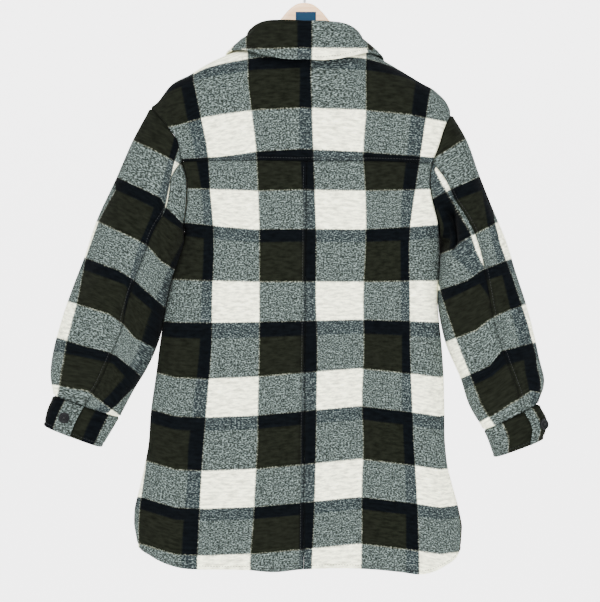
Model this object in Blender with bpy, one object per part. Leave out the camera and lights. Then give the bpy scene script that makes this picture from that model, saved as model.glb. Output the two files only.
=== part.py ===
"""Shirt jacket of thick brushed plaid cloth, hung on a wooden hanger.

Frame: the origin is where the hook hangs, at its inner top. +Z is up and +Y
points out of the garment's front, so +X is the wearer's right. Tables are in
millimetres and everything else is in metres.

Each cloth piece is a wall. Its outer face is a grid of points, and its inner
face is that grid moved in by the wall's thickness. Two pieces that are sewn
together share their edge points and the direction in which the edge is moved
in, so the walls meet in a mitre with a fine gap along the seam.
"""

from dataclasses import dataclass

import bmesh
import bpy
import numpy as np
from mathutils import Vector

MM = 0.001

# Cloth
WALL = 2.5 * MM
SEAM_GAP = 0.4 * MM
LAYER_GAP = 0.6 * MM
LAP_GAP = 1.0 * MM
FULLNESS = 2.6
SHOULDER_ROLL = 45 * MM
ARMHOLE_DEPTH = 34 * MM
UNDERARM_OWN = 180 * MM
YOKE_OVER_FRONT = 30 * MM
FRONT_HEM_RISE = 8 * MM

# Cloth grids: cells across half the body, and along each stretch of a side
HALF_CELLS = 9
SHOULDER_CELLS = 4
SKIRT_CELLS = 9
BACK_ARMHOLE_CELLS = 5
FRONT_ARMHOLE_CELLS = 6
FRONT_SEAM_CELLS = 3
SLEEVE_CELLS = 15
CUFF_CELLS = 30

# Front closing
VENT_TOP = -850 * MM
PLACKET_LEFT = -16 * MM
PLACKET_RIGHT = 17 * MM
CENTRE_FRONT = 6 * MM
BUTTON_RADIUS = 8 * MM
BUTTON_DEPTH = 3.2 * MM
BUTTON_HOLE_RADIUS = 0.9 * MM
BUTTON_HOLE_SPACING = 3.4 * MM
FRONT_BUTTONS = 6
FRONT_BUTTON_TOP = -290 * MM
FRONT_BUTTON_PITCH = 100 * MM
FRONT_BUTTON_COLUMN = 0.97
CUFF_BUTTON_INSETS = (1.1, 2.2)

# Collar
CUFF_OVERLAP = 0.5
CUFF_STEP_START = 0.9
CUFF_STEP_REACH = 0.7

HANGER_TILT = 0.028
STAND_TOP_DROP = 8 * MM
STAND_RISE = 2.5 * MM
NECK_MIDDLE = np.array([0, 0, -140 * MM])

# Hanger
HOOK_INNER_RADIUS = 20 * MM
HOOK_WIRE_RADIUS = 2 * MM
HANGER_HALF_THICK = 6 * MM
HANGER_END = 188 * MM
HANGER_CLEARANCE = 7 * MM


def table(columns, *rows):
    """Give each named column of rows in millimetres as an array in metres."""
    return {name: MM * np.array(column, float) for name, column in zip(columns.split(), zip(*rows))}


# Shoulder line seen from behind. Between the neck points it runs on above the
# neck hole, as the line that the back and front faces would roll over.
RIDGE = table(
    "x z",
    (-232, -230), (-221, -221), (-202, -197), (-172, -180), (-142, -162), (-115, -150),
    (-86, -140), (-45, -127), (0, -120), (45, -127), (86, -140), (113, -156),
    (143, -173), (173, -191), (199, -207), (215, -226), (221, -240),
)

# Armhole seam from the shoulder tip down to the underarm
LEFT_ARMHOLE = table(
    "x z",
    (-232, -230), (-217, -245), (-202, -263), (-191, -278), (-185, -300), (-181, -318),
    (-176, -338), (-175, -356), (-176, -375), (-180, -395), (-182, -412),
)
RIGHT_ARMHOLE = table(
    "x z",
    (221, -240), (214, -251), (208, -263), (203, -278), (198, -293), (193, -305),
    (188, -323), (187, -353), (190, -368), (194, -383), (199, -401), (202, -420),
)

# Side seams from the underarm down, run on straight past the hem's corners
SIDES = table(
    "z left right",
    (-405, -181, 200), (-420, -182, 202), (-460, -193, 203), (-517, -207, 200), (-577, -217, 206),
    (-622, -223, 209), (-684, -232, 211), (-735, -236, 212), (-762, -241, 215), (-800, -250, 225),
    (-825, -256, 232), (-855, -257, 238), (-885, -256, 238), (-924, -254, 236),
)

# Half depth of the body on its middle line
DEPTH = table(
    "z depth",
    (-120, 44), (-200, 46), (-300, 49), (-420, 47), (-520, 42), (-640, 42), (-760, 46), (-924, 50),
)

# Back hem, from the left corner of the shirt tail to the right one
HEM = table(
    "x z",
    (-249, -884), (-244, -890), (-232, -897), (-217, -905), (-187, -914), (-150, -916), (-82, -918),
    (-44, -920), (-7, -916), (53, -914), (98, -917), (143, -921), (172, -924), (199, -918),
    (211, -912), (223, -905), (230, -896), (234, -884),
)
LEFT_HEM_CORNER = (-249 * MM, -884 * MM)
RIGHT_HEM_CORNER = (234 * MM, -884 * MM)

# Yoke seam across the back, and the centre back seam below it
YOKE_SEAM = table("x z", (-240, -313), (-90, -311), (0, -312), (90, -312), (240, -316))
CENTRE_BACK = table("z x", (-924, -2), (-600, 0), (-300, 3))

# Neck seam: the back from one neck point to the other, and half the front
BACK_NECK = table("x z", (-86, -140), (-60, -147), (-30, -151), (0, -152), (30, -151), (60, -147), (86, -140))
FRONT_NECK = table("x z", (80, -172), (68, -196), (48, -214), (24, -225), (0, -228))

# Long soft folds: the line each one follows, how wide it is to each side and
# how far its crest stands out. A trough has a negative crest.
BACK_FOLDS = table(
    "x_top z_top x_low z_low half_width crest",
    (-120, -330, -166, -930, 34, 7),
    (-60, -420, -92, -930, 30, -6),
    (40, -520, 28, -930, 40, 4),
    (150, -330, 104, -930, 34, -8),
    (176, -420, 186, -930, 26, 8),
)
FRONT_FOLDS = table(
    "x_top z_top x_low z_low half_width crest",
    (-120, -330, -150, -930, 36, 6),
    (-90, -420, -84, -930, 28, -5),
    (96, -400, 90, -930, 30, -6),
    (130, -330, 160, -930, 34, 6),
)

# Sleeve sections from the armhole to the cuff: the outer and the inner
# silhouette point, the half depth, and how far across the back seam lies.
SLEEVE_COLUMNS = "x_out z_out x_in z_in depth seam"
LEFT_SLEEVE = table(
    SLEEVE_COLUMNS,
    (-232, -230, -182, -412, 34, 460),
    (-257, -277, -186, -428, 42, 640),
    (-287, -345, -189, -440, 49, 630),
    (-311, -397, -195, -458, 52, 645),
    (-329, -450, -203, -490, 51, 635),
    (-347, -497, -213, -535, 49, 615),
    (-364, -547, -221, -578, 47, 620),
    (-377, -597, -238, -622, 45, 610),
    (-380, -634, -257, -654, 41, 585),
    (-376, -660, -278, -693, 29, 490),
)
RIGHT_SLEEVE = table(
    SLEEVE_COLUMNS,
    (221, -240, 202, -420, 34, 417),
    (244, -280, 205, -432, 42, 520),
    (262, -330, 205, -446, 48, 450),
    (284, -387, 205, -462, 51, 405),
    (300, -425, 204, -478, 51, 400),
    (316, -475, 202, -515, 49, 390),
    (334, -532, 210, -575, 47, 425),
    (350, -600, 234, -636, 45, 425),
    (358, -645, 249, -680, 40, 370),
    (349, -673, 269, -712, 27, 310),
)

# Folds of the sleeves: how far down and round, in thousandths of the length
# and of a turn from the outer edge over the back, their reach and their crest
SLEEVE_FOLD_COLUMNS = "down round reach_down reach_round crest"
LEFT_SLEEVE_FOLDS = table(
    SLEEVE_FOLD_COLUMNS,
    (300, 180, 120, 70, 5),
    (480, 110, 150, 60, -5),
    (620, 250, 140, 60, 5),
    (780, 160, 90, 60, 5),
    (900, 90, 70, 60, 6),
)
RIGHT_SLEEVE_FOLDS = table(
    SLEEVE_FOLD_COLUMNS,
    (280, 160, 120, 60, 4),
    (460, 260, 150, 60, -5),
    (640, 120, 150, 60, 5),
    (830, 230, 90, 60, 5),
    (920, 90, 60, 60, 5),
)

# Cuff bands from the sleeve to the hand
LEFT_CUFF = table(
    "x_out z_out x_in z_in depth",
    (-376, -660, -278, -693, 29), (-386, -682, -292, -716, 30), (-391, -705, -305, -738, 31),
)
RIGHT_CUFF = table(
    "x_out z_out x_in z_in depth",
    (349, -673, 269, -712, 27), (362, -700, 277, -732, 29), (355, -727, 284, -753, 29),
)
FRONT_SEAM_FRACTION = 0.72
LEFT_FLAP_EDGE = 0.49
RIGHT_FLAP_EDGE = 0.30

# Collar on one side, from centre back to its front end: how far round, the
# fold's crest at the neck side, and the edge of the fall
COLLAR = table(
    "round fold_x fold_y fold_z edge_x edge_y edge_z",
    (0, 0, -46, -105, 0, -61, -163.5),
    (210, 32, -44, -104, 34, -60, -163),
    (400, 58, -35, -105.5, 64, -52, -157),
    (570, 73, -18, -112, 97, -28, -147.5),
    (700, 79, 2, -121, 118, 4, -150.5),
    (775, 77, 18, -133, 120, 30, -160),
    (850, 72, 32, -148, 117, 47, -177),
    (1000, 44, 47, -176, 92, 63, -224),
    (1120, 10, 53, -196, 62, 67, -262),
)

# Hanger: its crown inside the neck, and the height of the wood
HANGER_CROWN = table("x z", (0, -72), (12, -74), (24, -83), (36, -97), (50, -113), (66, -131), (84, -149))
HANGER_HEIGHT = table("x height", (0, 44), (36, 38), (84, 31), (150, 26), (205, 20))
HANGER_STATIONS = (0, 12, 24, 36, 50, 66, 84, 108, 134, 160, 178, 188)

CLOTH = (0.33, 0.34, 0.34)
COLOURS = {
    "back_yoke": (0.52, 0.52, 0.49),
    "back_left": (0.42, 0.43, 0.43),
    "back_right": (0.40, 0.41, 0.41),
    "collar": (0.30, 0.29, 0.25),
    "hanger_wood": (0.86, 0.68, 0.48),
    "hanger_hook": (0.75, 0.75, 0.76),
    "button": (0.03, 0.04, 0.05),
}


def smooth(at, knots, values):
    """Read a smooth curve through the values, given in any order of their knots."""
    order = np.argsort(knots)
    knots = knots[order]
    values = values[order]
    slopes = np.gradient(values, knots)
    at = np.clip(at, knots[0], knots[-1])
    cell = np.clip(np.searchsorted(knots, at) - 1, 0, len(knots) - 2)
    width = knots[cell + 1] - knots[cell]
    t = (at - knots[cell]) / width
    rise = (values[cell + 1] - values[cell]) * (3 * t**2 - 2 * t**3)
    turn = slopes[cell] * (t**3 - 2 * t**2 + t) + slopes[cell + 1] * (t**3 - t**2)
    return values[cell] + rise + width * turn


def ease(t):
    """Go from 0 to 1 with level ends."""
    t = np.clip(t, 0, 1)
    return t * t * (3 - 2 * t)


def unit(vectors):
    """Scale vectors along the last axis to length 1."""
    return vectors / np.linalg.norm(vectors, axis=-1, keepdims=True)


def ridge_z(x):
    """Height of the shoulder line."""
    return smooth(x, RIDGE["x"], RIDGE["z"])


def side_x(z, armhole, sides):
    """Edge of the body: the side seam, and above the underarm the armhole seam."""
    up = smooth(z, armhole["z"], armhole["x"])
    down = smooth(z, SIDES["z"], sides)
    return np.where(z > armhole["z"][-1], up, down)


def left_x(z):
    """Left edge of the body at a height."""
    return side_x(z, LEFT_ARMHOLE, SIDES["left"])


def right_x(z):
    """Right edge of the body at a height."""
    return side_x(z, RIGHT_ARMHOLE, SIDES["right"])


def armhole_depth(z, armhole):
    """Half depth of the armhole: nothing at the shoulder tip and at the underarm."""
    top, low = armhole["z"][0], armhole["z"][-1]
    w = np.clip(np.abs(2 * z - top - low) / (top - low), 0, 1)
    return ARMHOLE_DEPTH * (1 - w**FULLNESS) ** (1 / FULLNESS)


def folds_at(x, z, folds):
    """How far the soft folds lift the cloth at a point."""
    lift = np.zeros_like(x)
    for x_top, z_top, x_low, z_low, half_width, crest in zip(*folds.values()):
        down = (z_top - z) / (z_top - z_low)
        off = (x - x_top - (x_low - x_top) * down) / half_width
        lift = lift + crest * ease(down * 1.6) * np.exp(-off * off)
    return lift


def body_depth(x, z, folds):
    """Half depth of the body at a point of the back or the front.

    Across, it is a full oval between the edges. Up to the shoulder line it
    closes in a quarter circle.
    """
    left, right = left_x(z), right_x(z)
    q = np.clip(np.abs(2 * x - left - right) / (right - left), 0, 1)
    leftward = 2 * x < left + right
    edge = np.where(leftward, armhole_depth(z, LEFT_ARMHOLE), armhole_depth(z, RIGHT_ARMHOLE))
    crown = smooth(z, DEPTH["z"], DEPTH["depth"])
    full = (edge**FULLNESS + (crown**FULLNESS - edge**FULLNESS) * (1 - q**FULLNESS)) ** (1 / FULLNESS)
    turn = 1 - np.clip((ridge_z(x) - z) / SHOULDER_ROLL, 0, 1)
    return full * np.sqrt(1 - turn**2) + folds_at(x, z, folds) * (1 - q**6)


def back_points(x, z):
    """Points of the back's outer face."""
    return np.stack([x, -body_depth(x, z, BACK_FOLDS), z], axis=-1)


def front_points(x, z):
    """Points of the front's outer face."""
    return np.stack([x, body_depth(x, z, FRONT_FOLDS), z], axis=-1)


def roll_of(drop):
    """Turn a drop below the shoulder line into a distance round its roll."""
    round_part = np.arccos(1 - np.clip(drop / SHOULDER_ROLL, 0, 1))
    return round_part + np.maximum(drop / SHOULDER_ROLL - 1, 0)


def drop_of(roll):
    """Turn a distance round the shoulder's roll into a drop below its line."""
    roll = np.abs(roll)
    straight = np.maximum(roll - np.pi / 2, 0)
    return SHOULDER_ROLL * (1 - np.cos(np.minimum(roll, np.pi / 2)) + straight)


def yoke_points(x, roll):
    """Points of the yoke: the roll is positive on the back and negative in front."""
    z = ridge_z(x) - drop_of(roll)
    depth = body_depth(x, z, BACK_FOLDS)
    return np.stack([x, np.where(roll > 0, -depth, depth), z], axis=-1)


def patch(left, right, bottom, top, across, up):
    """Fill four edges of 2-D points with a grid.

    across holds each point's weight towards the right edge, and up each row's
    weight towards the top edge.
    """
    across = across[..., None]
    up = up[:, None, None]
    rows = (1 - across) * left[:, None] + across * right[:, None]
    low = bottom - (1 - across[0]) * bottom[0] - across[0] * bottom[-1]
    high = top - (1 - across[-1]) * top[0] - across[-1] * top[-1]
    return rows + (1 - up) * low + up * high


@dataclass
class Panel:
    """A cut piece of cloth: its outer face as a grid, and its outward directions."""

    name: str
    points: np.ndarray
    normals: np.ndarray

    @classmethod
    def around(cls, name, points, core):
        """Make a panel that faces away from the core points."""
        across = np.gradient(points, axis=1)
        up = np.gradient(points, axis=0)
        normals = unit(np.cross(across, up))
        if np.sum(normals * (points - core)) < 0:
            normals = -normals
        return cls(name, points, normals)


def share(first, first_edge, second, second_edge, weight=1.0):
    """Give two sewn edges one direction, or bring them nearer by a weight."""
    own = first.normals[first_edge].copy()
    other = second.normals[second_edge].copy()
    first.normals[first_edge] = unit(own + weight * other)
    second.normals[second_edge] = unit(other + weight * own)


def flatten_edge(panel, row, sections):
    """Turn a row's directions into the plane of its section, so that it meets the next ring."""
    across = np.array([sections["x_in"][row] - sections["x_out"][row], 0, sections["z_in"][row] - sections["z_out"][row]])
    square = unit(np.cross(across, np.array([0, 1.0, 0])))
    own = panel.normals[row]
    panel.normals[row] = unit(own - (own @ square)[:, None] * square)


def body_panel(name, points):
    """Make a panel of the body, which faces away from the body's middle plane."""
    return Panel.around(name, points, points * np.array([1, 0, 1]))


def side_rows(corner_z, armhole, levels):
    """Heights of a side's rows: hem corner to underarm, then up the armhole."""
    underarm = armhole["z"][-1]
    skirt = np.linspace(VENT_TOP, underarm, SKIRT_CELLS)
    return np.concatenate([[corner_z], skirt, levels[1:]])


def spread(cells, full):
    """Weights across a half panel, drawn to the side seam at the rows below the armhole."""
    angle = np.linspace(0, np.pi / 2, cells + 1)
    drawn = 1 - np.cos(angle) ** (2 / FULLNESS)
    even = np.linspace(0, 1, cells + 1)
    return (1 - full[:, None]) * drawn + full[:, None] * even


def armhole_levels(armhole, top_z, cells):
    """Heights up an armhole from the underarm, closer together at the underarm."""
    underarm = armhole["z"][-1]
    t = np.linspace(0, 1, cells + 1)
    return underarm + (top_z - underarm) * (0.35 * t + 0.65 * t**1.6)


def edge_line(x, z):
    """Points of an edge in the plane seen from behind."""
    return np.stack([x, z], axis=-1)


def half_panel(armhole, edge, inner_edge, corner, inner_low, top, hem, levels, mirrored):
    """Grid of a half back or front in the plane seen from behind.

    The rows run up the side and the armhole on one edge, and up the centre
    line on the other. A mirrored half has its side on the right.
    """
    z_side = side_rows(corner[1], armhole, levels)
    x_side = edge(z_side)
    x_side[0] = corner[0]
    up = (z_side - z_side[0]) / (z_side[-1] - z_side[0])
    z_inner = inner_low + (top[-1, 1] - inner_low) * up
    side = edge_line(x_side, z_side)
    inner = edge_line(inner_edge(z_inner), z_inner)
    full = ease((z_side - armhole["z"][-1]) / (z_side[-1] - armhole["z"][-1]))
    across = spread(HALF_CELLS, full)
    x_hem = corner[0] + (inner[0, 0] - corner[0]) * across[0]
    grid = patch(side, inner, edge_line(x_hem, hem(x_hem)), top, across, up)
    return grid[:, ::-1] if mirrored else grid


def centre_back_x(z):
    """Centre back seam at a height."""
    return smooth(z, CENTRE_BACK["z"], CENTRE_BACK["x"])


def centre_front_x(z):
    """Where the two fronts meet under the placket."""
    return np.full_like(z, CENTRE_FRONT)


def back_hem_z(x):
    """Height of the back hem."""
    return smooth(x, HEM["x"], HEM["z"])


def front_hem_z(x):
    """Height of the front hem, a little above the back's."""
    return back_hem_z(x) + FRONT_HEM_RISE


def yoke_seam_z(x):
    """Height of the yoke seam."""
    return smooth(x, YOKE_SEAM["x"], YOKE_SEAM["z"])


def seam_meets(armhole, edge):
    """Height at which the yoke seam meets an armhole."""
    z = np.linspace(armhole["z"][-1], armhole["z"][0], 400)
    return np.interp(0, z - yoke_seam_z(edge(z)), z)


def front_edge_meets(armhole, edge):
    """Height at which the yoke's front edge meets an armhole."""
    z = np.linspace(armhole["z"][-1], armhole["z"][0], 400)
    return np.interp(-YOKE_OVER_FRONT, z - ridge_z(edge(z)), z)


def back_panels():
    """Two backs, sewn together down the centre and to the yoke above."""
    panels = []
    for name, armhole, edge, corner, mirrored in (
        ("back_left", LEFT_ARMHOLE, left_x, LEFT_HEM_CORNER, False),
        ("back_right", RIGHT_ARMHOLE, right_x, RIGHT_HEM_CORNER, True),
    ):
        seam_z = seam_meets(armhole, edge)
        centre = centre_back_x(yoke_seam_z(np.zeros(1)))[0]
        x_top = np.linspace(edge(np.array([seam_z]))[0], centre, HALF_CELLS + 1)
        top = edge_line(x_top, yoke_seam_z(x_top))
        low = back_hem_z(centre_back_x(np.array([HEM["z"].min()])))[0]
        levels = armhole_levels(armhole, seam_z, BACK_ARMHOLE_CELLS)
        grid = half_panel(armhole, edge, centre_back_x, corner, low, top, back_hem_z, levels, mirrored)
        panels.append(body_panel(name, back_points(grid[..., 0], grid[..., 1])))
    return panels


def front_neck_line(side):
    """Front neck seam from the yoke's front edge to the centre front."""
    x = side * FRONT_NECK["x"]
    x[-1] = CENTRE_FRONT
    cells = HALF_CELLS - SHOULDER_CELLS
    even = np.linspace(0, 1, cells + 1)
    steps = np.linspace(0, 1, len(x))
    return edge_line(smooth(even, steps, x), smooth(even, steps, FRONT_NECK["z"]))


def shoulder_edge(armhole, edge, side):
    """Front edge of the yoke from the armhole to the neck."""
    z_arm = front_edge_meets(armhole, edge)
    x_arm = edge(np.array([z_arm]))[0]
    x = np.linspace(x_arm, side * FRONT_NECK["x"][0], SHOULDER_CELLS + 1)
    z = ridge_z(x) - YOKE_OVER_FRONT
    return edge_line(x, z)


def front_panels():
    """Two fronts that meet under the placket."""
    panels = []
    for name, armhole, edge, corner, side in (
        ("front_left", LEFT_ARMHOLE, left_x, LEFT_HEM_CORNER, -1),
        ("front_right", RIGHT_ARMHOLE, right_x, RIGHT_HEM_CORNER, 1),
    ):
        shoulder = shoulder_edge(armhole, edge, side)
        neck = front_neck_line(side)
        neck[0] = shoulder[-1]
        top = np.concatenate([shoulder[:-1], neck])
        low = front_hem_z(np.array([CENTRE_FRONT]))[0]
        levels = armhole_levels(armhole, shoulder[0, 1], FRONT_ARMHOLE_CELLS)
        raised = (corner[0], corner[1] + FRONT_HEM_RISE)
        grid = half_panel(armhole, edge, centre_front_x, raised, low, top, front_hem_z, levels, side > 0)
        panels.append(body_panel(name, front_points(grid[..., 0], grid[..., 1])))
    return panels


def rolled_line(points):
    """Turn front-side points seen from behind into x and roll."""
    return edge_line(points[:, 0], -roll_of(ridge_z(points[:, 0]) - points[:, 1]))


def back_yoke():
    """The yoke: from its seam up the back, over the shoulders and a little down the front."""
    left_shoulder = rolled_line(shoulder_edge(LEFT_ARMHOLE, left_x, -1))
    right_shoulder = rolled_line(shoulder_edge(RIGHT_ARMHOLE, right_x, 1))
    neck_cells = 2 * (HALF_CELLS - SHOULDER_CELLS - 2)
    x_neck = np.linspace(BACK_NECK["x"][0], BACK_NECK["x"][-1], neck_cells + 1)
    z_neck = smooth(x_neck, BACK_NECK["x"], BACK_NECK["z"])
    neck = edge_line(x_neck, roll_of(ridge_z(x_neck) - z_neck))
    left_turn = (left_shoulder[-1:] + neck[:1]) / 2
    right_turn = (right_shoulder[-1:] + neck[-1:]) / 2
    top = np.concatenate([left_shoulder, left_turn, neck, right_turn, right_shoulder[::-1]])

    seam_ends = []
    for armhole, edge in ((LEFT_ARMHOLE, left_x), (RIGHT_ARMHOLE, right_x)):
        seam_ends.append(edge(np.array([seam_meets(armhole, edge)]))[0])
    centre = centre_back_x(yoke_seam_z(np.zeros(1)))[0]
    left_half = np.linspace(seam_ends[0], centre, HALF_CELLS + 1)
    right_half = np.linspace(centre, seam_ends[1], HALF_CELLS + 1)
    x_seam = np.concatenate([left_half, right_half[1:]])
    bottom = edge_line(x_seam, roll_of(ridge_z(x_seam) - yoke_seam_z(x_seam)))

    up = np.array([0, 0.15, 0.30, 0.45, 0.58, 0.68, 0.76, 0.88, 1.0])
    sides = []
    for armhole, edge, column in ((LEFT_ARMHOLE, left_x, 0), (RIGHT_ARMHOLE, right_x, -1)):
        z = np.linspace(armhole["z"][-1], armhole["z"][0], 600)
        x = edge(z)
        rolls = roll_of(ridge_z(x) - z)
        loop_x = np.concatenate([x, x[::-1]])
        loop_roll = np.concatenate([rolls, -rolls[::-1]])
        wanted = (1 - up) * bottom[column, 1] + up * top[column, 1]
        at_x = np.interp(-wanted, -loop_roll, loop_x)
        sides.append(edge_line(at_x, wanted))
    even = np.linspace(0, 1, 2 * HALF_CELLS + 1)
    across = np.tile(even, (len(up), 1))
    grid = patch(sides[0], sides[1], bottom, top, across, up)
    return body_panel("back_yoke", yoke_points(grid[..., 0], grid[..., 1]))


def sleeve_sections(sleeve):
    """Smooth rows of the sleeve's table, evenly spaced down the sleeve."""
    x_mid = (sleeve["x_out"] + sleeve["x_in"]) / 2
    z_mid = (sleeve["z_out"] + sleeve["z_in"]) / 2
    steps = np.hypot(np.diff(x_mid), np.diff(z_mid))
    along = np.concatenate([[0], np.cumsum(steps)])
    down = np.linspace(0, 1, SLEEVE_CELLS + 1)
    at = along[-1] * down
    rows = {name: smooth(at, along, column) for name, column in sleeve.items()}
    return down, rows


def oval(rows, angles):
    """Points round flat oval sections: angle 0 is the outer edge, a quarter turn the back."""
    out = np.stack([rows["x_out"], 0 * rows["x_out"], rows["z_out"]], axis=-1)[:, None]
    inner = np.stack([rows["x_in"], 0 * rows["x_in"], rows["z_in"]], axis=-1)[:, None]
    power = 2 / FULLNESS
    wide = np.sign(np.cos(angles)) * np.abs(np.cos(angles)) ** power
    deep = -np.sign(np.sin(angles)) * np.abs(np.sin(angles)) ** power
    points = (out + inner) / 2 + (out - inner) / 2 * wide[..., None]
    points[..., 1] = deep * rows["depth"][:, None]
    return points


def cores(rows):
    """Middle point of each section."""
    zero = 0 * rows["x_out"]
    return np.stack([rows["x_out"] + rows["x_in"], zero, rows["z_out"] + rows["z_in"]], axis=-1)[:, None] / 2


def angle_across(fraction):
    """Angle on an oval at a fraction of the way from its outer to its inner edge."""
    w = 1 - 2 * fraction
    return np.arccos(np.sign(w) * np.abs(w) ** (FULLNESS / 2))


def sleeve_lift(angles, down, folds):
    """How far the sleeve's folds lift its cloth."""
    lift = np.zeros_like(angles)
    for at_down, at_round, reach_down, reach_round, crest in zip(*folds.values()):
        off_down = (down[:, None] - at_down) / reach_down
        off_round = (angles / (2 * np.pi) - at_round) / reach_round
        lift = lift + crest * np.exp(-(off_down**2) - off_round**2)
    return lift * ease(4 * (1 - down))[:, None]


def sleeve_panel(name, ring, angles, sleeve, folds, seams):
    """Loft a sleeve piece from its armhole points to the cuff.

    ring holds the armhole points and angles their places on the oval. seams
    gives the angles of the piece's two edges at each section.
    """
    down, rows = sleeve_sections(sleeve)
    share_of = (angles - angles[0]) / (angles[-1] - angles[0])
    first = seams[0](rows["seam"])
    last = seams[1](rows["seam"])
    settle = ease(down * 5)[:, None]
    even = first[:, None] + (last - first)[:, None] * share_of
    turned = (1 - settle) * angles + settle * even
    points = oval(rows, turned)
    fade = (np.clip(1 - down / 0.3, 0, 1) ** 2)[:, None, None]
    points = points + fade * (ring - points[0])
    core = cores(rows)
    lift = sleeve_lift(turned, down, folds) * (1 - fade[..., 0])
    return Panel.around(name, points + lift[..., None] * unit(points - core), core)


def back_seam_angle(seam):
    """Angle of the back seam, whose fraction the table holds in thousandths."""
    return angle_across(seam / (1000 * MM))


def front_seam_angle(seam):
    """Angle of the front seam, counted backwards over the front."""
    return -angle_across(np.full_like(seam, FRONT_SEAM_FRACTION))


def front_seam_angle_on(seam):
    """Angle of the front seam, counted on past the inner edge."""
    return 2 * np.pi + front_seam_angle(seam)


def sleeve(side_name, body, sleeve_table, folds, armhole, column):
    """Upper and under sleeve, sewn into the armhole of the body's panels."""
    yoke, back, front = body
    levels = len(back.points) - BACK_ARMHOLE_CELLS - 1
    back_rows = np.arange(levels, len(back.points))
    front_rows = np.arange(len(front.points) - FRONT_ARMHOLE_CELLS - 1, len(front.points))
    yoke_rows = np.arange(len(yoke.points))
    turn_row = FRONT_SEAM_CELLS

    def ring_part(panel, rows):
        return [(panel, row) for row in rows]

    upper_ring = ring_part(front, front_rows[turn_row:-1]) + ring_part(yoke, yoke_rows[::-1])
    under_ring = ring_part(back, back_rows[::-1]) + ring_part(front, front_rows[1:turn_row + 1])

    def angles_of(points, past):
        top, low = armhole["z"][0], armhole["z"][-1]
        w = np.clip((2 * points[:, 2] - top - low) / (top - low), -1, 1)
        angle = np.arccos(np.sign(w) * np.abs(w) ** (FULLNESS / 2))
        in_front = points[:, 1] > 1e-9
        return np.where(in_front, (2 * np.pi if past else 0) - angle, angle)

    pieces = []
    for name, ring, past, seams in (
        ("sleeve_upper", upper_ring, False, (front_seam_angle, back_seam_angle)),
        ("sleeve_under", under_ring, True, (back_seam_angle, front_seam_angle_on)),
    ):
        points = np.array([panel.points[row, column] for panel, row in ring])
        piece = sleeve_panel(
            f"{name}_{side_name}", points, angles_of(points, past), sleeve_table, folds, seams
        )
        for k, (panel, row) in enumerate(ring):
            height = (points[k, 2] - armhole["z"][-1]) / UNDERARM_OWN
            share(panel, (row, column), piece, (0, k), ease(height))
        pieces.append(piece)
    upper, under = pieces
    rows = slice(None)
    share(upper, (rows, -1), under, (rows, 0))
    share(upper, (rows, 0), under, (rows, -1))
    front.normals[front_rows[turn_row], column] = upper.normals[0, 0]
    for panel, row in ((yoke, 0), (back, -1)):
        panel.normals[row, column] = upper.normals[0, -1]
    front.normals[-1, column] = yoke.normals[-1, column]
    for piece in pieces:
        flatten_edge(piece, -1, sleeve_table)
    return pieces


def cuff(name, cuff_table, flap_edge):
    """A cuff band that goes once round and laps over its own start at the back."""
    flap = angle_across(np.array(flap_edge))
    start = flap - CUFF_OVERLAP
    angles = np.linspace(start, 2 * np.pi + flap, CUFF_CELLS + 1)
    grid = np.tile(angles, (len(cuff_table["depth"]), 1))
    points = oval(cuff_table, grid)
    core = cores(cuff_table)
    lift = (WALL + LAP_GAP) * ease((grid - (2 * np.pi + start - CUFF_STEP_START)) / CUFF_STEP_REACH)
    band = Panel.around(name, points + lift[..., None] * unit(points - core), core)
    flatten_edge(band, 0, cuff_table)
    return band


def neck_loop(yoke, front_left, front_right):
    """Neck seam points from the left front end over the back to the right front end."""
    first = SHOULDER_CELLS
    left = front_left.points[-1, first:][::-1]
    right = front_right.points[-1, :-first][::-1]
    middle = yoke.points[-1, first + 1:-first - 1]
    return np.concatenate([left, middle, right])


def halved(values):
    """Put a midpoint between each value and the next."""
    middles = (values[:-1] + values[1:]) / 2
    paired = np.empty((2 * len(values) - 1, *values.shape[1:]))
    paired[::2] = values
    paired[1::2] = middles
    return paired


def places_round(neck):
    """How far round the collar each neck point lies, negative on the left."""
    turn = np.unwrap(np.arctan2(neck[:, 0], -neck[:, 1]))
    turn = turn - turn[len(neck) // 2]
    table_turn = np.arctan2(COLLAR["fold_x"], -COLLAR["fold_y"])
    reach = np.where(turn < 0, -turn[0], turn[-1])
    return np.sign(turn) * np.interp(np.abs(turn) / reach * table_turn[-1], table_turn, COLLAR["round"])


def collar_sections(at):
    """Fold and edge of the collar at places from its left front end to the right one."""
    side = np.sign(at)
    columns = {name: smooth(np.abs(at), COLLAR["round"], column) for name, column in COLLAR.items()}
    fold = np.stack([side * columns["fold_x"], columns["fold_y"], columns["fold_z"]], axis=-1)
    edge = np.stack([side * columns["edge_x"], columns["edge_y"], columns["edge_z"]], axis=-1)
    fold[:, 2] -= HANGER_TILT * fold[:, 0]
    edge[:, 2] -= HANGER_TILT * edge[:, 0]
    return fold, edge


def neck_outward(points):
    """Level direction from the middle of the neck to each point."""
    flat = points * np.array([1, 0, 0]) / (81 * MM) ** 2 + points * np.array([0, 1, 0]) / (48 * MM) ** 2
    return unit(flat)


def collar_fall(at):
    """The collar's leaf: up from the stand, over the fold and down to its edge."""
    fold, edge = collar_sections(at)
    out = neck_outward(fold)
    down = np.array([0, 0, -1.0])
    rows = [fold + STAND_TOP_DROP * down]
    for outward, drop in ((0.0, 3.0), (1.3, 0.6), (4.2, 0.0), (7.0, 1.6), (8.6, 6.0)):
        rows.append(fold + outward * MM * out + drop * MM * down)
    start = rows[-1]
    for t in (0.35, 0.7, 1.0):
        bulge = 2.0 * MM * np.sin(np.pi * t)
        rows.append(start + (edge - start) * t + bulge * out)
    points = np.stack(rows)
    across = np.gradient(points, axis=1)
    up = np.gradient(points, axis=0)
    return Panel("collar", points, unit(np.cross(up, across)))


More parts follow.
